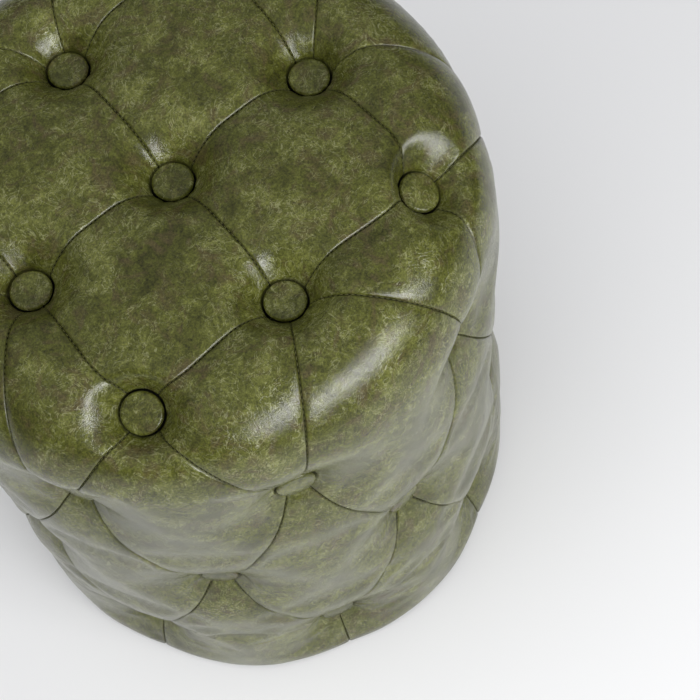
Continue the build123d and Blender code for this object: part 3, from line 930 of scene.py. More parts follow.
    def seam_runs(self) -> list[np.ndarray]:
        """Lines along which the cover is stitched.

        Returns:
            Points of each line in mm.
        """
        b = self.buttons
        pairs = []
        for q in range(4):
            pairs += [(b.centre(), b.middle(q)), (b.middle(q), b.corner(q)), (b.corner(q), b.middle(q + 1))]
            for c, button in ((2 * q, b.middle(q)), (2 * q - 1, b.middle(q)), (2 * q, b.corner(q)),
                              (2 * q + 1, b.corner(q))):
                pairs.append((button, b.side(0, c)))
        for c in range(b.columns):
            pairs += [(b.side(0, c), b.side(1, c)), (b.side(0, c), b.side(1, c + 1))]
            pairs += [(b.side(1, c), b.side(2, c)), (b.side(1, c), b.side(2, c - 1))]
        clear = self.dimple.well + self.stitch_clear[0]
        across, down = self.stitch_points
        runs = []
        for first, last in pairs:
            seam = self.seam(first, last)
            runs.append(self.sunk(seam.at(np.linspace(clear, seam.length - clear, across)), [first, last]))
        for c in range(b.columns):
            below = np.linspace(clear, b.level(2) - self.hem_level - self.stitch_clear[1], down)
            runs.append(self.sunk(self.upright(b.side(2, c), below), [b.side(2, c)]))
        return runs

    def sunk(self, points: np.ndarray, tips: list[Place]) -> np.ndarray:
        """Points of a seam moved in to where its thread lies.

        Args:
            points: points on the drum.
            tips: buttons that hold the seam.

        Returns:
            The points.
        """
        on_drum, normal = self.drum.surface(*self.drum.place_of(points))
        depth = self.pulled(on_drum, normal, tips)[0] + self.groove * self.thread_share
        on_drum, normal = self.turned_to(on_drum, normal, tips)
        return on_drum - normal * depth[:, None]


def linear(colour: str) -> tuple[float, float, float, float]:
    """Linear colour of an sRGB hex value."""
    parts = [int(colour[i:i + 2], 16) / 255 for i in (1, 3, 5)]
    return (*[p / 12.92 if p <= 0.04045 else ((p + 0.055) / 1.055) ** 2.4 for p in parts], 1.0)


def add_node(tree: bpy.types.NodeTree, kind: str, inputs: dict | None = None, **settings: object) -> bpy.types.Node:
    """Adds a node with its settings and links.

    Args:
        tree: node tree.
        kind: type of the node.
        inputs: value or output socket for each input, by its name or number.
        settings: properties of the node.

    Returns:
        The node.
    """
    node = tree.nodes.new(kind)
    for name, value in settings.items():
        setattr(node, name, value)
    for name, value in (inputs or {}).items():
        socket = node.inputs[name]
        if isinstance(value, bpy.types.NodeSocket):
            tree.links.new(value, socket)
        else:
            socket.default_value = value
    return node


def bare_material(name: str) -> bpy.types.Material:
    """Material with an empty node tree.

    Args:
        name: name of the material.

    Returns:
        The material.
    """
    mat = bpy.data.materials.new(name)
    mat.use_nodes = True
    mat.node_tree.nodes.clear()
    return mat


def placed(name: str, data: bpy.types.ID) -> bpy.types.Object:
    """New object at the origin of the scene.

    Args:
        name: name of the object.
        data: its mesh, light or camera.

    Returns:
        The object.
    """
    thing = bpy.data.objects.new(name, data)
    bpy.context.scene.collection.objects.link(thing)
    return thing


def make_piece(name: str, points: np.ndarray, faces: list[tuple[int, ...]]) -> bpy.types.Object:
    """Object at the origin with a smooth mesh.

    Args:
        name: name of the piece.
        points: points in mm.
        faces: faces by point number.

    Returns:
        The object.
    """
    mesh = bpy.data.meshes.new(name)
    mesh.from_pydata((points * MM).tolist(), [], faces)
    mesh.validate()
    mesh.shade_smooth()
    return placed(name, mesh)


def merge_doubles(piece: bpy.types.Object) -> None:
    """Merges points that coincide, as at the tips of a panel, and turns its faces outwards.

    Args:
        piece: object whose mesh changes.
    """
    work = bmesh.new()
    work.from_mesh(piece.data)
    bmesh.ops.remove_doubles(work, verts=work.verts, dist=JOIN)
    bmesh.ops.dissolve_degenerate(work, edges=work.edges, dist=SLIVER)
    bmesh.ops.recalc_face_normals(work, faces=work.faces)
    work.to_mesh(piece.data)
    work.free()
    piece.data.shade_smooth()


# Polyurethane leatherette, embossed with a hide's grain, then rubbed with colour and wax. The eye sees a deep olive,
# clouded where the wax has moved, browner where it is thick, pale along its creases, and a wet shine on every round.
@dataclass(frozen=True)
class PullUpLeather:
    """Waxed pull-up leatherette: its colours, its roughness from pale to dark, and its patterns' sizes in mm."""

    name: str = "olive_pull_up_leatherette"
    olive: str = "#4d501e"
    light: str = "#696c36"
    dark: str = "#353611"
    brown: str = "#4d442a"
    crease: str = "#93946a"
    # near-black painted shade of the seams and the wells
    shadow: str = "#0b0b06"
    roughness: tuple[float, float] = (0.15, 0.26)
    fold_roughness: float = 0.85
    mottle: tuple[float, float] = (0.38, 0.62)
    cloud: float = 30.0
    blotch: float = 8.0
    wax: float = 20.0
    crease_spacing: float = 13.0
    # pores and grain are about 0.5 mm on the real cover, and drawn coarser so that they show
    speck: float = 1.3
    grain: float = 1.3
    blotch_relief: float = 3.0
    crease_relief: float = 1.3

    def material(self) -> bpy.types.Material:
        """Builds the material.

        Returns:
            The material.
        """
        mat = bare_material(self.name)
        tree = mat.node_tree
        low, high = self.mottle
        where = add_node(tree, "ShaderNodeTexCoord").outputs["Object"]
        cloud = add_node(tree, "ShaderNodeTexNoise", {"Vector": where, "Scale": 1000 / self.cloud, "Detail": 9.0,
                                                      "Roughness": 0.66, "Distortion": 0.7})
        blotch = add_node(tree, "ShaderNodeTexNoise", {"Vector": where, "Scale": 1000 / self.blotch, "Detail": 8.0,
                                                       "Roughness": 0.7, "Distortion": 1.3})
        speck = add_node(tree, "ShaderNodeTexNoise", {"Vector": where, "Scale": 1000 / self.speck, "Detail": 3.0,
                                                      "Roughness": 0.8})
        mixed = add_node(tree, "ShaderNodeMix", {"Factor": 0.5, 2: cloud.outputs["Fac"], 3: blotch.outputs["Fac"]})
        tone = add_node(tree, "ShaderNodeValToRGB", {"Fac": mixed.outputs[0]})
        self.ramp(tone, [(low, self.dark), ((low + high) / 2, self.olive), (high, self.light)])
        waxed = add_node(tree, "ShaderNodeTexNoise", {"Vector": where, "Scale": 1000 / self.wax, "Detail": 7.0,
                                                      "Roughness": 0.65, "Distortion": 1.8})
        spot = add_node(tree, "ShaderNodeMapRange", {"Value": waxed.outputs["Fac"], "From Min": 0.5, "From Max": 0.66,
                                                     "To Min": 0.0, "To Max": 0.8})
        browned = add_node(tree, "ShaderNodeMix", {"Factor": spot.outputs["Result"], 6: tone.outputs["Color"],
                                                   7: linear(self.brown)}, data_type="RGBA")
        fine = add_node(tree, "ShaderNodeMapRange", {"Value": speck.outputs["Fac"], "From Min": 0.3, "From Max": 0.7,
                                                     "To Min": 0.4, "To Max": 1.6})
        speckled = add_node(tree, "ShaderNodeMix", {"Factor": 1.0, 6: browned.outputs[2], 7: fine.outputs["Result"]},
                            data_type="RGBA", blend_type="MULTIPLY")
        lines = add_node(tree, "ShaderNodeTexNoise", {"Vector": where, "Scale": 1000 / self.crease_spacing,
                                                      "Detail": 3.0, "Roughness": 0.6, "Distortion": 2.4})
        ridge = add_node(tree, "ShaderNodeMath", {0: lines.outputs["Fac"], 1: 0.5}, operation="SUBTRACT")
        ridge = add_node(tree, "ShaderNodeMath", {0: ridge.outputs[0]}, operation="ABSOLUTE")
        streak = add_node(tree, "ShaderNodeMapRange", {"Value": ridge.outputs[0], "From Min": 0.02, "From Max": 0.0,
                                                       "To Min": 0.0, "To Max": 0.75})
        some = add_node(tree, "ShaderNodeMapRange", {"Value": cloud.outputs["Fac"], "From Min": 0.4, "From Max": 0.56,
                                                     "To Min": 0.0, "To Max": 1.0})
        scratch = add_node(tree, "ShaderNodeMath", {0: streak.outputs["Result"], 1: some.outputs["Result"]},
                           operation="MULTIPLY")
        scratched = add_node(tree, "ShaderNodeMix", {"Factor": scratch.outputs[0], 6: speckled.outputs[2],
                                                     7: linear(self.crease)}, data_type="RGBA")
        cells = add_node(tree, "ShaderNodeTexVoronoi", {"Vector": where, "Scale": 1000 / self.grain},
                         feature="DISTANCE_TO_EDGE")
        pebble = add_node(tree, "ShaderNodeMapRange", {"Value": cells.outputs["Distance"], "From Min": 0.0,
                                                       "From Max": 0.25, "To Min": 0.0, "To Max": 0.5})
        pores = add_node(tree, "ShaderNodeMath", {0: speck.outputs["Fac"], 1: pebble.outputs["Result"]},
                         operation="ADD")
        height = add_node(tree, "ShaderNodeMath", {0: blotch.outputs["Fac"], 1: self.blotch_relief,
                                                   2: pores.outputs[0]}, operation="MULTIPLY_ADD")
        creased = add_node(tree, "ShaderNodeMath", {0: scratch.outputs[0], 1: self.crease_relief,
                                                    2: height.outputs[0]}, operation="MULTIPLY_ADD")
        bump = add_node(tree, "ShaderNodeBump", {"Height": creased.outputs[0], "Strength": 0.3, "Distance": 0.0002})
        rough = add_node(tree, "ShaderNodeMapRange", {"Value": mixed.outputs[0], "From Min": low, "From Max": high,
                                                      "To Min": self.roughness[1], "To Max": self.roughness[0]})
        # painted shade: the seams and the wells are painted near black, and made dull
        fold = add_node(tree, "ShaderNodeAttribute", attribute_name="fold").outputs["Fac"]
        shaded = add_node(tree, "ShaderNodeMix", {"Factor": fold, 6: scratched.outputs[2], 7: linear(self.shadow)},
                          data_type="RGBA")
        dulled = add_node(tree, "ShaderNodeMapRange", {"Value": fold, "To Min": rough.outputs["Result"],
                                                       "To Max": self.fold_roughness})
        shader = add_node(tree, "ShaderNodeBsdfPrincipled", {"Base Color": shaded.outputs[2],
                                                             "Roughness": dulled.outputs["Result"],
                                                             "Normal": bump.outputs["Normal"], "IOR": 1.52})
        add_node(tree, "ShaderNodeOutputMaterial", {"Surface": shader.outputs["BSDF"]})
        return mat

    @staticmethod
    def ramp(node: bpy.types.Node, stops: list[tuple[float, str]]) -> None:
        """Sets the stops of a colour ramp.

        Args:
            node: colour ramp.
            stops: place and colour of each stop.
        """
        stops_now = node.color_ramp.elements
        while len(stops_now) < len(stops):
            stops_now.new(0.5)
        for stop, (at, colour) in zip(stops_now, stops):
            stop.position = at
            stop.color = linear(colour)


@dataclass(frozen=True)
class PlainFinish:
    """Simple material with a slight mottle: its colour, how far the colour wanders, and its grain in mm."""

    name: str
    colour: str
    second: str
    grain: float
    roughness: float
    metallic: float = 0.0
    bump: float = 0.1
    stretch: tuple[float, float, float] = (1.0, 1.0, 1.0)

    def material(self) -> bpy.types.Material:
        """Builds the material.

        Returns:
            The material.
        """
        mat = bare_material(self.name)
        tree = mat.node_tree
        where = add_node(tree, "ShaderNodeTexCoord").outputs["Object"]
        laid = add_node(tree, "ShaderNodeMapping", {"Vector": where, "Scale": self.stretch}).outputs["Vector"]
        grain = add_node(tree, "ShaderNodeTexNoise", {"Vector": laid, "Scale": 1000 / self.grain, "Detail": 5.0,
                                                      "Roughness": 0.6})
        tone = add_node(tree, "ShaderNodeMix", {"Factor": grain.outputs["Fac"], 6: linear(self.colour),
                                                7: linear(self.second)}, data_type="RGBA")
        bump = add_node(tree, "ShaderNodeBump", {"Height": grain.outputs["Fac"], "Strength": self.bump,
                                                 "Distance": 0.0005})
        shader = add_node(tree, "ShaderNodeBsdfPrincipled", {"Base Color": tone.outputs[2],
                                                             "Roughness": self.roughness, "Metallic": self.metallic,
                                                             "Normal": bump.outputs["Normal"]})
        add_node(tree, "ShaderNodeOutputMaterial", {"Surface": shader.outputs["BSDF"]})
        return mat


def make_carrier(name: str, points: np.ndarray, edges: list[tuple[int, int]]) -> bpy.types.Object:
    """Points and lines for a node tree to work on.

    Args:
        name: name of the object.
        points: points in mm.
        edges: lines by point number.

    Returns:
        The object.
    """
    mesh = bpy.data.meshes.new(name)
    mesh.from_pydata((points * MM).tolist(), edges, [])
    return placed(name, mesh)


def plain_mesh(carrier: bpy.types.Object, tree: bpy.types.NodeTree, inputs: dict[str, float],
               name: str) -> bpy.types.Object:
    """Runs a node tree, turns its result into a plain piece and removes the carrier.

    Args:
        carrier: object that the tree works on.
        tree: Geometry Nodes tree.
        inputs: value of each size, by the identifier of its socket.
        name: name of the piece.

    Returns:
        The piece.
    """
    nodes = carrier.modifiers.new("nodes", "NODES")
    nodes.node_group = tree
    for identifier, value in inputs.items():
        nodes[identifier] = value
    graph = bpy.context.evaluated_depsgraph_get()
    mesh = bpy.data.meshes.new_from_object(carrier.evaluated_get(graph), depsgraph=graph)
    mesh.name = name
    mesh.shade_smooth()
    bpy.data.objects.remove(carrier)
    return placed(name, mesh)


def new_tree(name: str, sizes: dict[str, float]) -> tuple[bpy.types.NodeTree, bpy.types.Node, dict[str, str]]:
    """Starts a Geometry Nodes tree with named sizes.

    Args:
        name: name of the tree.
        sizes: default of each size.

    Returns:
        The tree, its input node, and the identifier of each size's socket.
    """
    tree = bpy.data.node_groups.new(name, "GeometryNodeTree")
    tree.interface.new_socket("Geometry", in_out="INPUT", socket_type="NodeSocketGeometry")
    tree.interface.new_socket("Geometry", in_out="OUTPUT", socket_type="NodeSocketGeometry")
    names = {}
    for key, value in sizes.items():
        socket = tree.interface.new_socket(key, in_out="INPUT", socket_type="NodeSocketFloat")
        socket.default_value = value
        names[key] = socket.identifier
    return tree, tree.nodes.new("NodeGroupInput"), names


def end_tree(tree: bpy.types.NodeTree, instances: bpy.types.NodeSocket, finish: bpy.types.Material) -> None:
    """Makes a tree's instances real and gives them their finish.

    Args:
        tree: Geometry Nodes tree.
        instances: socket that the instances come from.
        finish: their material.
    """
    real = add_node(tree, "GeometryNodeRealizeInstances", {"Geometry": instances})
    done = add_node(tree, "GeometryNodeSetMaterial", {"Geometry": real.outputs["Geometry"], "Material": finish})
    add_node(tree, "NodeGroupOutput", {"Geometry": done.outputs["Geometry"]})


@dataclass
class Stitching:
    """Lock stitches that lie along every seam, in mm. The thread is drawn a little thick so that it shows."""

    pitch: float = 3.3
    length: float = 2.4
    thickness: float = 0.45

    def build(self, runs: list[np.ndarray], thread: bpy.types.Material) -> bpy.types.Object:
        """Sets stitches along lines.

        Args:
            runs: lines in mm.
            thread: finish of the thread.

        Returns:
            The piece.
        """
        edges, start = [], 0
        for run in runs:
            edges += [(start + i, start + i + 1) for i in range(len(run) - 1)]
            start += len(run)
        sizes = {"Pitch": self.pitch * MM, "Length": self.length * MM, "Thickness": self.thickness * MM}
        tree, entry, names = new_tree("stitch_run", sizes)
        curve = add_node(tree, "GeometryNodeMeshToCurve", {"Mesh": entry.outputs["Geometry"]})
        spots = add_node(tree, "GeometryNodeCurveToPoints", {"Curve": curve.outputs["Curve"],
                                                             "Length": entry.outputs["Pitch"]}, mode="LENGTH")
        aim = add_node(tree, "FunctionNodeAlignRotationToVector", {"Vector": spots.outputs["Tangent"]}, axis="Z")
        stitch = add_node(tree, "GeometryNodeMeshUVSphere", {"Segments": 6, "Rings": 4, "Radius": 0.5})
        thick = entry.outputs["Thickness"]
        size = add_node(tree, "ShaderNodeCombineXYZ", {"X": thick, "Y": thick, "Z": entry.outputs["Length"]})
        laid = add_node(tree, "GeometryNodeInstanceOnPoints", {"Points": spots.outputs["Points"],
                                                               "Instance": stitch.outputs["Mesh"],
                                                               "Rotation": aim.outputs["Rotation"],
                                                               "Scale": size.outputs["Vector"]})
        end_tree(tree, laid.outputs["Instances"], thread)
        carrier = make_carrier("seam_lines", np.concatenate(runs), edges)
        piece = plain_mesh(carrier, tree, {names[key]: value for key, value in sizes.items()}, "seam_stitches")
        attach(piece, "root")
        return piece


@dataclass
class CoveredButtons:
    """Button caps with the leather drawn over a domed shell, in mm."""

    buttons: Buttoning = Buttoning()
    radius: float = 12.6
    thickness: float = 7.0
    proud: float = 1.0
    dome: float = 1.0
    face_span: tuple[float, float] = (1.2, 10.3)
    face_rings: int = 8
    edge_round: float = 2.2
    edge_drop: float = 3.15
    edge_angles: tuple[float, ...] = (78.0, 60.0, 42.0, 24.0, 6.0, -14.0, -45.0)
    back_inset: float = 2.4
    pull: float = 0.12
    pull_count: int = 9
    pull_from: float = 0.75
    turns: int = 48
    seed: int = 3

    def profile(self) -> list[tuple[float, float]]:
        """Half section of a cap from the middle of its face to the edge of its back.

        Returns:
            Radii and heights.
        """
        face = [(r, -self.dome * (r / self.face_span[1]) ** 2) for r in np.linspace(*self.face_span, self.face_rings)]
        edge = [(self.radius - self.edge_round + self.edge_round * math.cos(a),
                 -self.edge_drop + self.edge_round * math.sin(a)) for a in np.radians(self.edge_angles)]
        return face + edge + [(self.radius - self.back_inset, -self.thickness)]

    def cap(self) -> bpy.types.Object:
        """One cap with its face at the origin, with the slight unevenness of drawn leather.

        Returns:
            The cap.
        """
        section = self.profile()
        points, faces = [(0.0, 0.0, 0.0)], []
        for r, h in section:
            for n in range(self.turns):
                a = math.tau * n / self.turns
                pull = self.pull * math.sin(self.pull_count * a) * max(0.0, r / self.radius - self.pull_from)
                points.append((r * math.cos(a), r * math.sin(a), h + pull))
        points.append((0.0, 0.0, -self.thickness))
        last = len(points) - 1
        for n in range(self.turns):
            m = (n + 1) % self.turns
            faces.append((0, 1 + n, 1 + m))
            for k in range(len(section) - 1):
                a, b = 1 + k * self.turns, 1 + (k + 1) * self.turns
                faces.append((a + n, b + n, b + m, a + m))
            a = 1 + (len(section) - 1) * self.turns
            faces.append((a + m, a + n, last))
        return make_piece("one_cap", np.array(points), faces)

    def build(self, leather: bpy.types.Material) -> list[bpy.types.Object]:
        """Sets a cap on every button's axis.

        Args:
            leather: finish of the caps.

        Returns:
            The pieces for the top and for the side.
        """
        pieces = []
        for where, places in (("top", self.buttons.top_places()), ("side", self.buttons.side_places())):
            cap = self.cap()
            spots, axes = [], []
            for place in places:
                point, normal = self.buttons.drum.at(place)
                spots.append(point - normal * (self.buttons.face_depth(place) - self.proud))
                axes.append(normal)
            carrier = make_carrier("button_axes", np.array(spots), [])
            stored = carrier.data.attributes.new("axis", "FLOAT_VECTOR", "POINT")
            stored.data.foreach_set("vector", np.array(axes).ravel())
            tree, entry, names = new_tree(f"{where}_buttons", {"Size": 1.0})
            axis = add_node(tree, "GeometryNodeInputNamedAttribute", {"Name": "axis"}, data_type="FLOAT_VECTOR")
            aim = add_node(tree, "FunctionNodeAlignRotationToVector", {"Vector": axis.outputs["Attribute"]}, axis="Z")
            spin = add_node(tree, "FunctionNodeRandomValue", {"Seed": self.seed, "Max": (0.0, 0.0, math.tau)},
                            data_type="FLOAT_VECTOR")
            turned = add_node(tree, "FunctionNodeRotateRotation", {"Rotation": aim.outputs["Rotation"],
                                                                   "Rotate By": spin.outputs["Value"]},
                              rotation_space="LOCAL")
            shape = add_node(tree, "GeometryNodeObjectInfo", {"Object": cap})
            laid = add_node(tree, "GeometryNodeInstanceOnPoints", {"Points": entry.outputs["Geometry"],
                                                                   "Instance": shape.outputs["Geometry"],
                                                                   "Rotation": turned.outputs["Rotation"],
                                                                   "Scale": entry.outputs["Size"]})
            end_tree(tree, laid.outputs["Instances"], leather)
            piece = plain_mesh(carrier, tree, {names["Size"]: 1.0}, f"{where}_button_covers")
            bpy.data.objects.remove(cap)
            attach(piece, "root")
            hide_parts(f"{where}_button_caps")
            pieces.append(piece)
        return pieces


@dataclass
class Underside:
    """Hem of the cover, gathered under the base board, and the dust cover stapled over it, in mm."""

    hem_inner: float = 100.5
    hem_outer: float = 179.0
    hem_face: float = 6.45
    leather: float = 1.2
    gathers: int = 52
    gather_height: float = 0.32
    # waves have a height, a count round the hem and a shift
    spacing_wave: tuple[float, int, float] = (1.3, 5, 0.0)
    height_wave: tuple[float, int, float] = (0.3, 11, 0.8)
    cut_waves: tuple[tuple[float, int, float], ...] = ((1.6, 7, 0.4), (0.9, 19, 2.0))
    cut_fade: int = 4
    dust_radius: float = 126.5
    dust_face: float = 5.24
    dust_middle: float = 6.0
    cloth: float = 0.35
    turn_in: float = 9.0
    turn_steps: tuple[float, float] = (1.0, 0.8)  # rings next to the turned edge, inside and outside
    sag_wave: tuple[float, int, float] = (0.1, 3, 0.6)
    ripple_wave: tuple[float, int, float] = (0.05, 9, 30.0)
    staple_pull: float = 0.07
    staples: int = 16
    staple_fade: int = 6
    rings: int = 14
    edge_rings: int = 4
    turns: int = 312

    @property
    def angle(self) -> np.ndarray:
        """Angles of the points of a ring."""
        return np.linspace(0.0, math.tau, self.turns, endpoint=False)

    def plate(self, name: str, radii: np.ndarray, low: np.ndarray, thick: np.ndarray, edge: np.ndarray,
              closed: bool) -> bpy.types.Object:
        """Thin round sheet.

        Args:
            name: name of the piece.
            radii: radii of its rings, from inside out.
            low: heights of its lower face, by ring and turn.
            thick: its thickness, by ring.
            edge: shares by which its rings move out, by ring and turn.
            closed: whether it has no hole in the middle.

        Returns:
            The piece.
        """
        rings, turns = low.shape
        r = radii[:, None] + edge
        lower = np.stack([r * np.cos(self.angle), r * np.sin(self.angle), low], axis=-1).reshape(-1, 3)
        upper = lower + np.repeat(thick, turns)[:, None] * np.array([0.0, 0.0, 1.0])
        count, faces = rings * turns, []
        for n in range(turns):
            m = (n + 1) % turns
            for k in range(rings - 1):
                a, b = k * turns, (k + 1) * turns
                faces.append((a + n, a + m, b + m, b + n))
                faces.append((count + a + n, count + b + n, count + b + m, count + a + m))
            last = (rings - 1) * turns
            faces.append((last + n, last + m, count + last + m, count + last + n))
            if closed:
                faces += [(m, n, 2 * count), (count + n, count + m, 2 * count + 1)]
            else:
                faces.append((m, n, count + n, count + m))
        points = [lower, upper]
        if closed:
            middle = float(low[0].mean())
            points.append(np.array([(0.0, 0.0, middle), (0.0, 0.0, middle + float(thick[0]))]))
        return make_piece(name, np.concatenate(points), faces)

    def hem(self, leather: bpy.types.Material) -> bpy.types.Object:
        """Turned-under leather, gathered towards its cut edge.

        Args:
            leather: finish of the cover.

        Returns:
            The piece.
        """
        radii = np.linspace(self.hem_inner, self.hem_outer, self.rings)
        angle = self.angle
        inward = ((self.hem_outer - radii) / (self.hem_outer - self.hem_inner))[:, None]
        spacing, heights, *cuts = (high * np.sin(count * angle + shift) for high, count, shift
                                   in (self.spacing_wave, self.height_wave, *self.cut_waves))
        wave = np.cos(self.gathers * angle + spacing) * (1 - self.height_wave[0] + heights)
        piece = self.plate("hem_turned_under", radii, self.hem_face + self.gather_height * wave[None] * inward,
                           np.full(self.rings, self.leather), sum(cuts)[None] * inward ** self.cut_fade, False)
        piece.data.materials.append(leather)
        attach(piece, "root")
        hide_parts("hem")
        return piece

    def dust_cover(self, cloth: bpy.types.Material) -> bpy.types.Object:
        """Non-woven cloth with its edge turned in, slightly slack between its staples.

        Args:
            cloth: finish of the cloth.

        Returns:
            The piece.
        """
        inner = self.dust_radius - self.turn_in
        before, after = self.turn_steps
        radii = np.concatenate([np.linspace(self.dust_middle, inner - before, self.rings), [inner],
                                np.linspace(inner + after, self.dust_radius, self.edge_rings)])
        angle = self.angle
        share = (radii / self.dust_radius)[:, None]
        high, count, shift = self.sag_wave
        slack = high * np.sin(count * angle + shift)[None] * share * (1 - share) * 4
        slack = slack + self.staple_pull * np.cos(self.staples * angle)[None] * share ** self.staple_fade
        high, count, shift = self.ripple_wave
        slack = slack + high * np.sin(count * angle + shift * share)
        thick = np.where(radii > inner, 2 * self.cloth, self.cloth)
        piece = self.plate("dust_cover_cloth", radii, self.dust_face + slack, thick,
                           np.zeros((len(radii), self.turns)), True)
        piece.data.materials.append(cloth)
        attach(piece, "root")
        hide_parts("dust_cover")
        return piece


@dataclass(frozen=True)
class SoftBox:
    """Soft light that looks at the pouf: its place in degrees and metres, width and height in metres, and watts."""

    name: str
    azimuth: float
    elevation: float
    far: float
    size: tuple[float, float]
    power: float
    mirrored: bool
    aim_height: float = 0.3

    def build(self) -> None:
        """Sets the light up. One that isn't mirrored leaves no sheen on the leather."""
        data = bpy.data.lights.new(self.name, "AREA")
        data.shape = "RECTANGLE"
        data.size, data.size_y = self.size
        data.energy = self.power
        az, el = math.radians(self.azimuth), math.radians(self.elevation)
        aim = Vector((math.cos(az) * math.cos(el), math.sin(az) * math.cos(el), math.sin(el)))
        box = placed(self.name, data)
        box.location = aim * self.far + Vector((0.0, 0.0, self.aim_height))
        box.rotation_euler = aim.to_track_quat("Z", "Y").to_euler()
        box.visible_glossy = self.mirrored


@dataclass
class Studio:
    """Pale floor, soft light and the camera at the photograph's angle: mm, degrees and pixels."""

    azimuth: float = -29.465
    elevation: float = 66.03
    roll: float = -11.754
    spot: tuple[float, float, float] = (-191.1, -503.4, 1329.9)
    focal: float = 1793.0
    frame_width: float = 700.0
    sensor: float = 36.0
    floor_reach: float = 4000.0
    floor_colour: str = "#f0f0f1"
    floor_roughness: float = 0.85
    sky_colour: str = "#f4f6fa"
    lights: tuple[SoftBox, ...] = (SoftBox("front_softbox", -84.0, 28.0, 2.0, (1.7, 0.34), 31.0, True),
                                   SoftBox("high_fill", -158.0, 69.0, 3.2, (3.0, 3.0), 57.0, False))

    def camera(self) -> None:
        """Sets the camera up."""
        az, el, roll = (math.radians(v) for v in (self.azimuth, self.elevation, self.roll))
        back = Vector((math.sin(az) * math.cos(el), -math.cos(az) * math.cos(el), math.sin(el)))
        right = (-back).cross(Vector((0.0, 0.0, 1.0))).normalized()
        up = right.cross(-back)
        x = right * math.cos(roll) + up * math.sin(roll)
        y = up * math.cos(roll) - right * math.sin(roll)
        data = bpy.data.cameras.new("photo_camera")
        data.sensor_width = self.sensor
        data.lens = self.focal * self.sensor / self.frame_width
        eye = placed("photo_camera", data)
        eye.matrix_world = Matrix.Translation(Vector(self.spot) * MM) @ Matrix((x, y, back)).transposed().to_4x4()
        bpy.context.scene.camera = eye

    def floor(self) -> None:
        """Lays the floor."""
        reach = self.floor_reach
        points = np.array([(-reach, -reach, 0.0), (reach, -reach, 0.0), (reach, reach, 0.0), (-reach, reach, 0.0)])
        piece = make_piece("studio_floor", points, [(0, 1, 2, 3)])
        # flat wall paint: pale, matt and even, so that only the pouf's shadow shows on it
        mat = bare_material("pale_floor_paint")
        shader = add_node(mat.node_tree, "ShaderNodeBsdfPrincipled", {"Base Color": linear(self.floor_colour),
                                                                      "Roughness": self.floor_roughness})
        add_node(mat.node_tree, "ShaderNodeOutputMaterial", {"Surface": shader.outputs["BSDF"]})
        piece.data.materials.append(mat)

    def air(self) -> None:
        """Lights the room evenly, more from above than from the sides."""
        world = bpy.data.worlds.new("studio_air")
        world.use_nodes = True
        tree = world.node_tree
        tree.nodes.clear()
        where = add_node(tree, "ShaderNodeTexCoord").outputs["Generated"]
        rise = add_node(tree, "ShaderNodeSeparateXYZ", {"Vector": where})
        glow = add_node(tree, "ShaderNodeMapRange", {"Value": rise.outputs["Z"], "From Min": 0.05, "From Max": 0.7,
                                                     "To Min": 0.05, "To Max": 0.34})
        sky = add_node(tree, "ShaderNodeBackground", {"Color": linear(self.sky_colour),
                                                      "Strength": glow.outputs["Result"]})
        add_node(tree, "ShaderNodeOutputWorld", {"Surface": sky.outputs["Background"]})
        bpy.context.scene.world = world

    def build(self) -> None:
        """Builds the studio. The plain view transform keeps the olive as deep as the photograph's."""
        self.camera()
        self.floor()
        for light in self.lights:
            light.build()
        self.air()
        bpy.context.scene.view_settings.view_transform = "Standard"


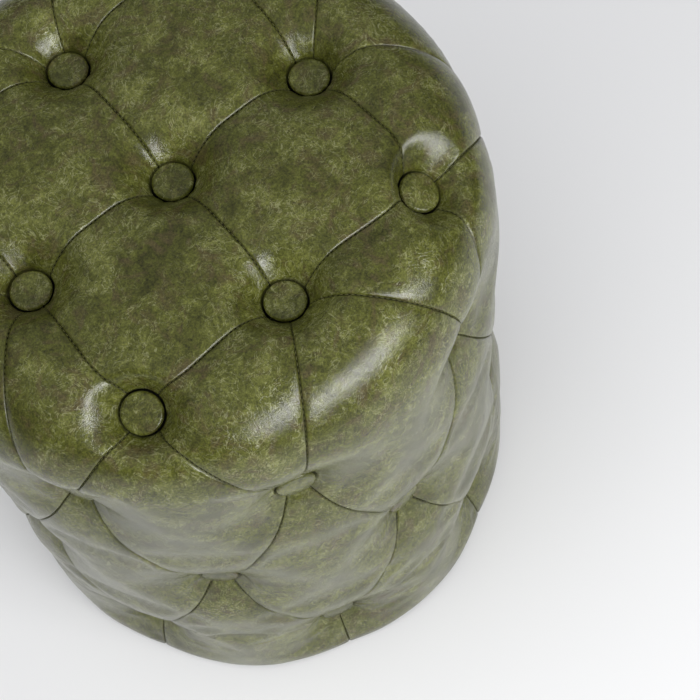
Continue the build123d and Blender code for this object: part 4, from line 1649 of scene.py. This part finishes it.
@dataclass
class Carcass:
    """Finishes of the CAD nodes that stay, by their slots, and of the plain new pieces."""

    finishes: dict[str, PlainFinish] = field(default_factory=lambda: {
        # pressed from galvanised sheet: a cool, even shine with a faint bloom
        "button_metal": PlainFinish("pressed_zinc_steel", "#b9babb", "#a4a5a7", 2.0, 0.38, 1.0),
        # linen drawn through wax: straw coloured and dull, its fibres drawn coarser so that they show
        "waxed_twine": PlainFinish("waxed_linen_twine", "#b9a983", "#9c8a63", 0.8, 0.7, 0.0, 0.4),
        # turned on a lathe: warm and smooth, with grain that runs along it
        "toggle_wood": PlainFinish("turned_beech", "#c39a6c", "#b0855a", 3.0, 0.6, 0.0, 0.1, (1.0, 1.0, 0.12)),
        # cut with a blade: cream and matt, its pores drawn coarser so that they show
        "foam": PlainFinish("open_cell_foam", "#e2d6ae", "#d3c596", 1.5, 0.95, 0.0, 0.5),
        # peeled veneer, sanded: pale and satin, with long grain
        "board": PlainFinish("birch_plywood", "#cbaa7c", "#b8935f", 6.0, 0.6, 0.0, 0.1, (1.0, 0.08, 1.0)),
        # pressed fibre, tempered with oil: dark brown and smooth, its fibres drawn coarser so that they show
        "hardboard": PlainFinish("tempered_hardboard", "#6b4a30", "#553923", 2.5, 0.55),
        # left from the saw: yellowish and rough, with grain that runs up the post
        "softwood": PlainFinish("sawn_pine", "#d3b283", "#bf9862", 5.0, 0.7, 0.0, 0.3, (1.0, 1.0, 0.05)),
        # plated bright: a light shine, its bloom drawn coarser so that it shows
        "zinc_steel": PlainFinish("zinc_plated_steel", "#c3c4c2", "#aeb0ae", 1.5, 0.35, 1.0),
        # moulded in an etched mould: black and satin, its grit drawn coarser so that it shows
        "glide_plastic": PlainFinish("moulded_nylon", "#1a1a1b", "#141415", 0.8, 0.45, 0.0, 0.08),
    })
    # bonded and twisted: a soft gloss, a shade paler than the leather, its twist drawn coarser so that it shows
    thread: PlainFinish = PlainFinish("bonded_nylon_thread", "#66673c", "#54542e", 0.6, 0.5, 0.0, 0.3)
    # spun and pressed: black and matt like thin felt, its fleck drawn coarser so that it shows
    dust_cloth: PlainFinish = PlainFinish("black_non_woven_cloth", "#1b1b1c", "#0f0f10", 1.2, 0.9, 0.0, 0.4)

    def dress(self, replaced: set[str]) -> None:
        """Gives every node that stays its finish.

        Args:
            replaced: nodes that other pieces stand for.
        """
        made = {slot: finish.material() for slot, finish in self.finishes.items()}
        slots = {part["node"]: part["material_slot"] for part in frame["record"]["subparts"]}
        for name, node in frame["nodes"].items():
            if name in replaced:
                continue
            node.data.materials.clear()
            node.data.materials.append(made[slots[name]])


def main() -> None:
    """Builds the pouf's looks piece by piece."""
    logging.basicConfig(level=logging.INFO, format="%(name)s: %(message)s")
    leather = PullUpLeather().material()
    cover, underside, carcass = TuftedCover(), Underside(), Carcass()
    pieces = cover.build(leather)
    pieces.append(Stitching().build(cover.seam_runs(), carcass.thread.material()))
    pieces += CoveredButtons().build(leather)
    pieces.append(underside.hem(leather))
    pieces.append(underside.dust_cover(carcass.dust_cloth.material()))
    for piece in pieces:
        log.info("%s: %d faces", piece.name, len(piece.data.polygons))
    carcass.dress({zone.value for zone in Zone} | {"top_button_caps", "side_button_caps", "hem", "dust_cover"})
    Studio().build()


if __name__ == "__main__":
    main()
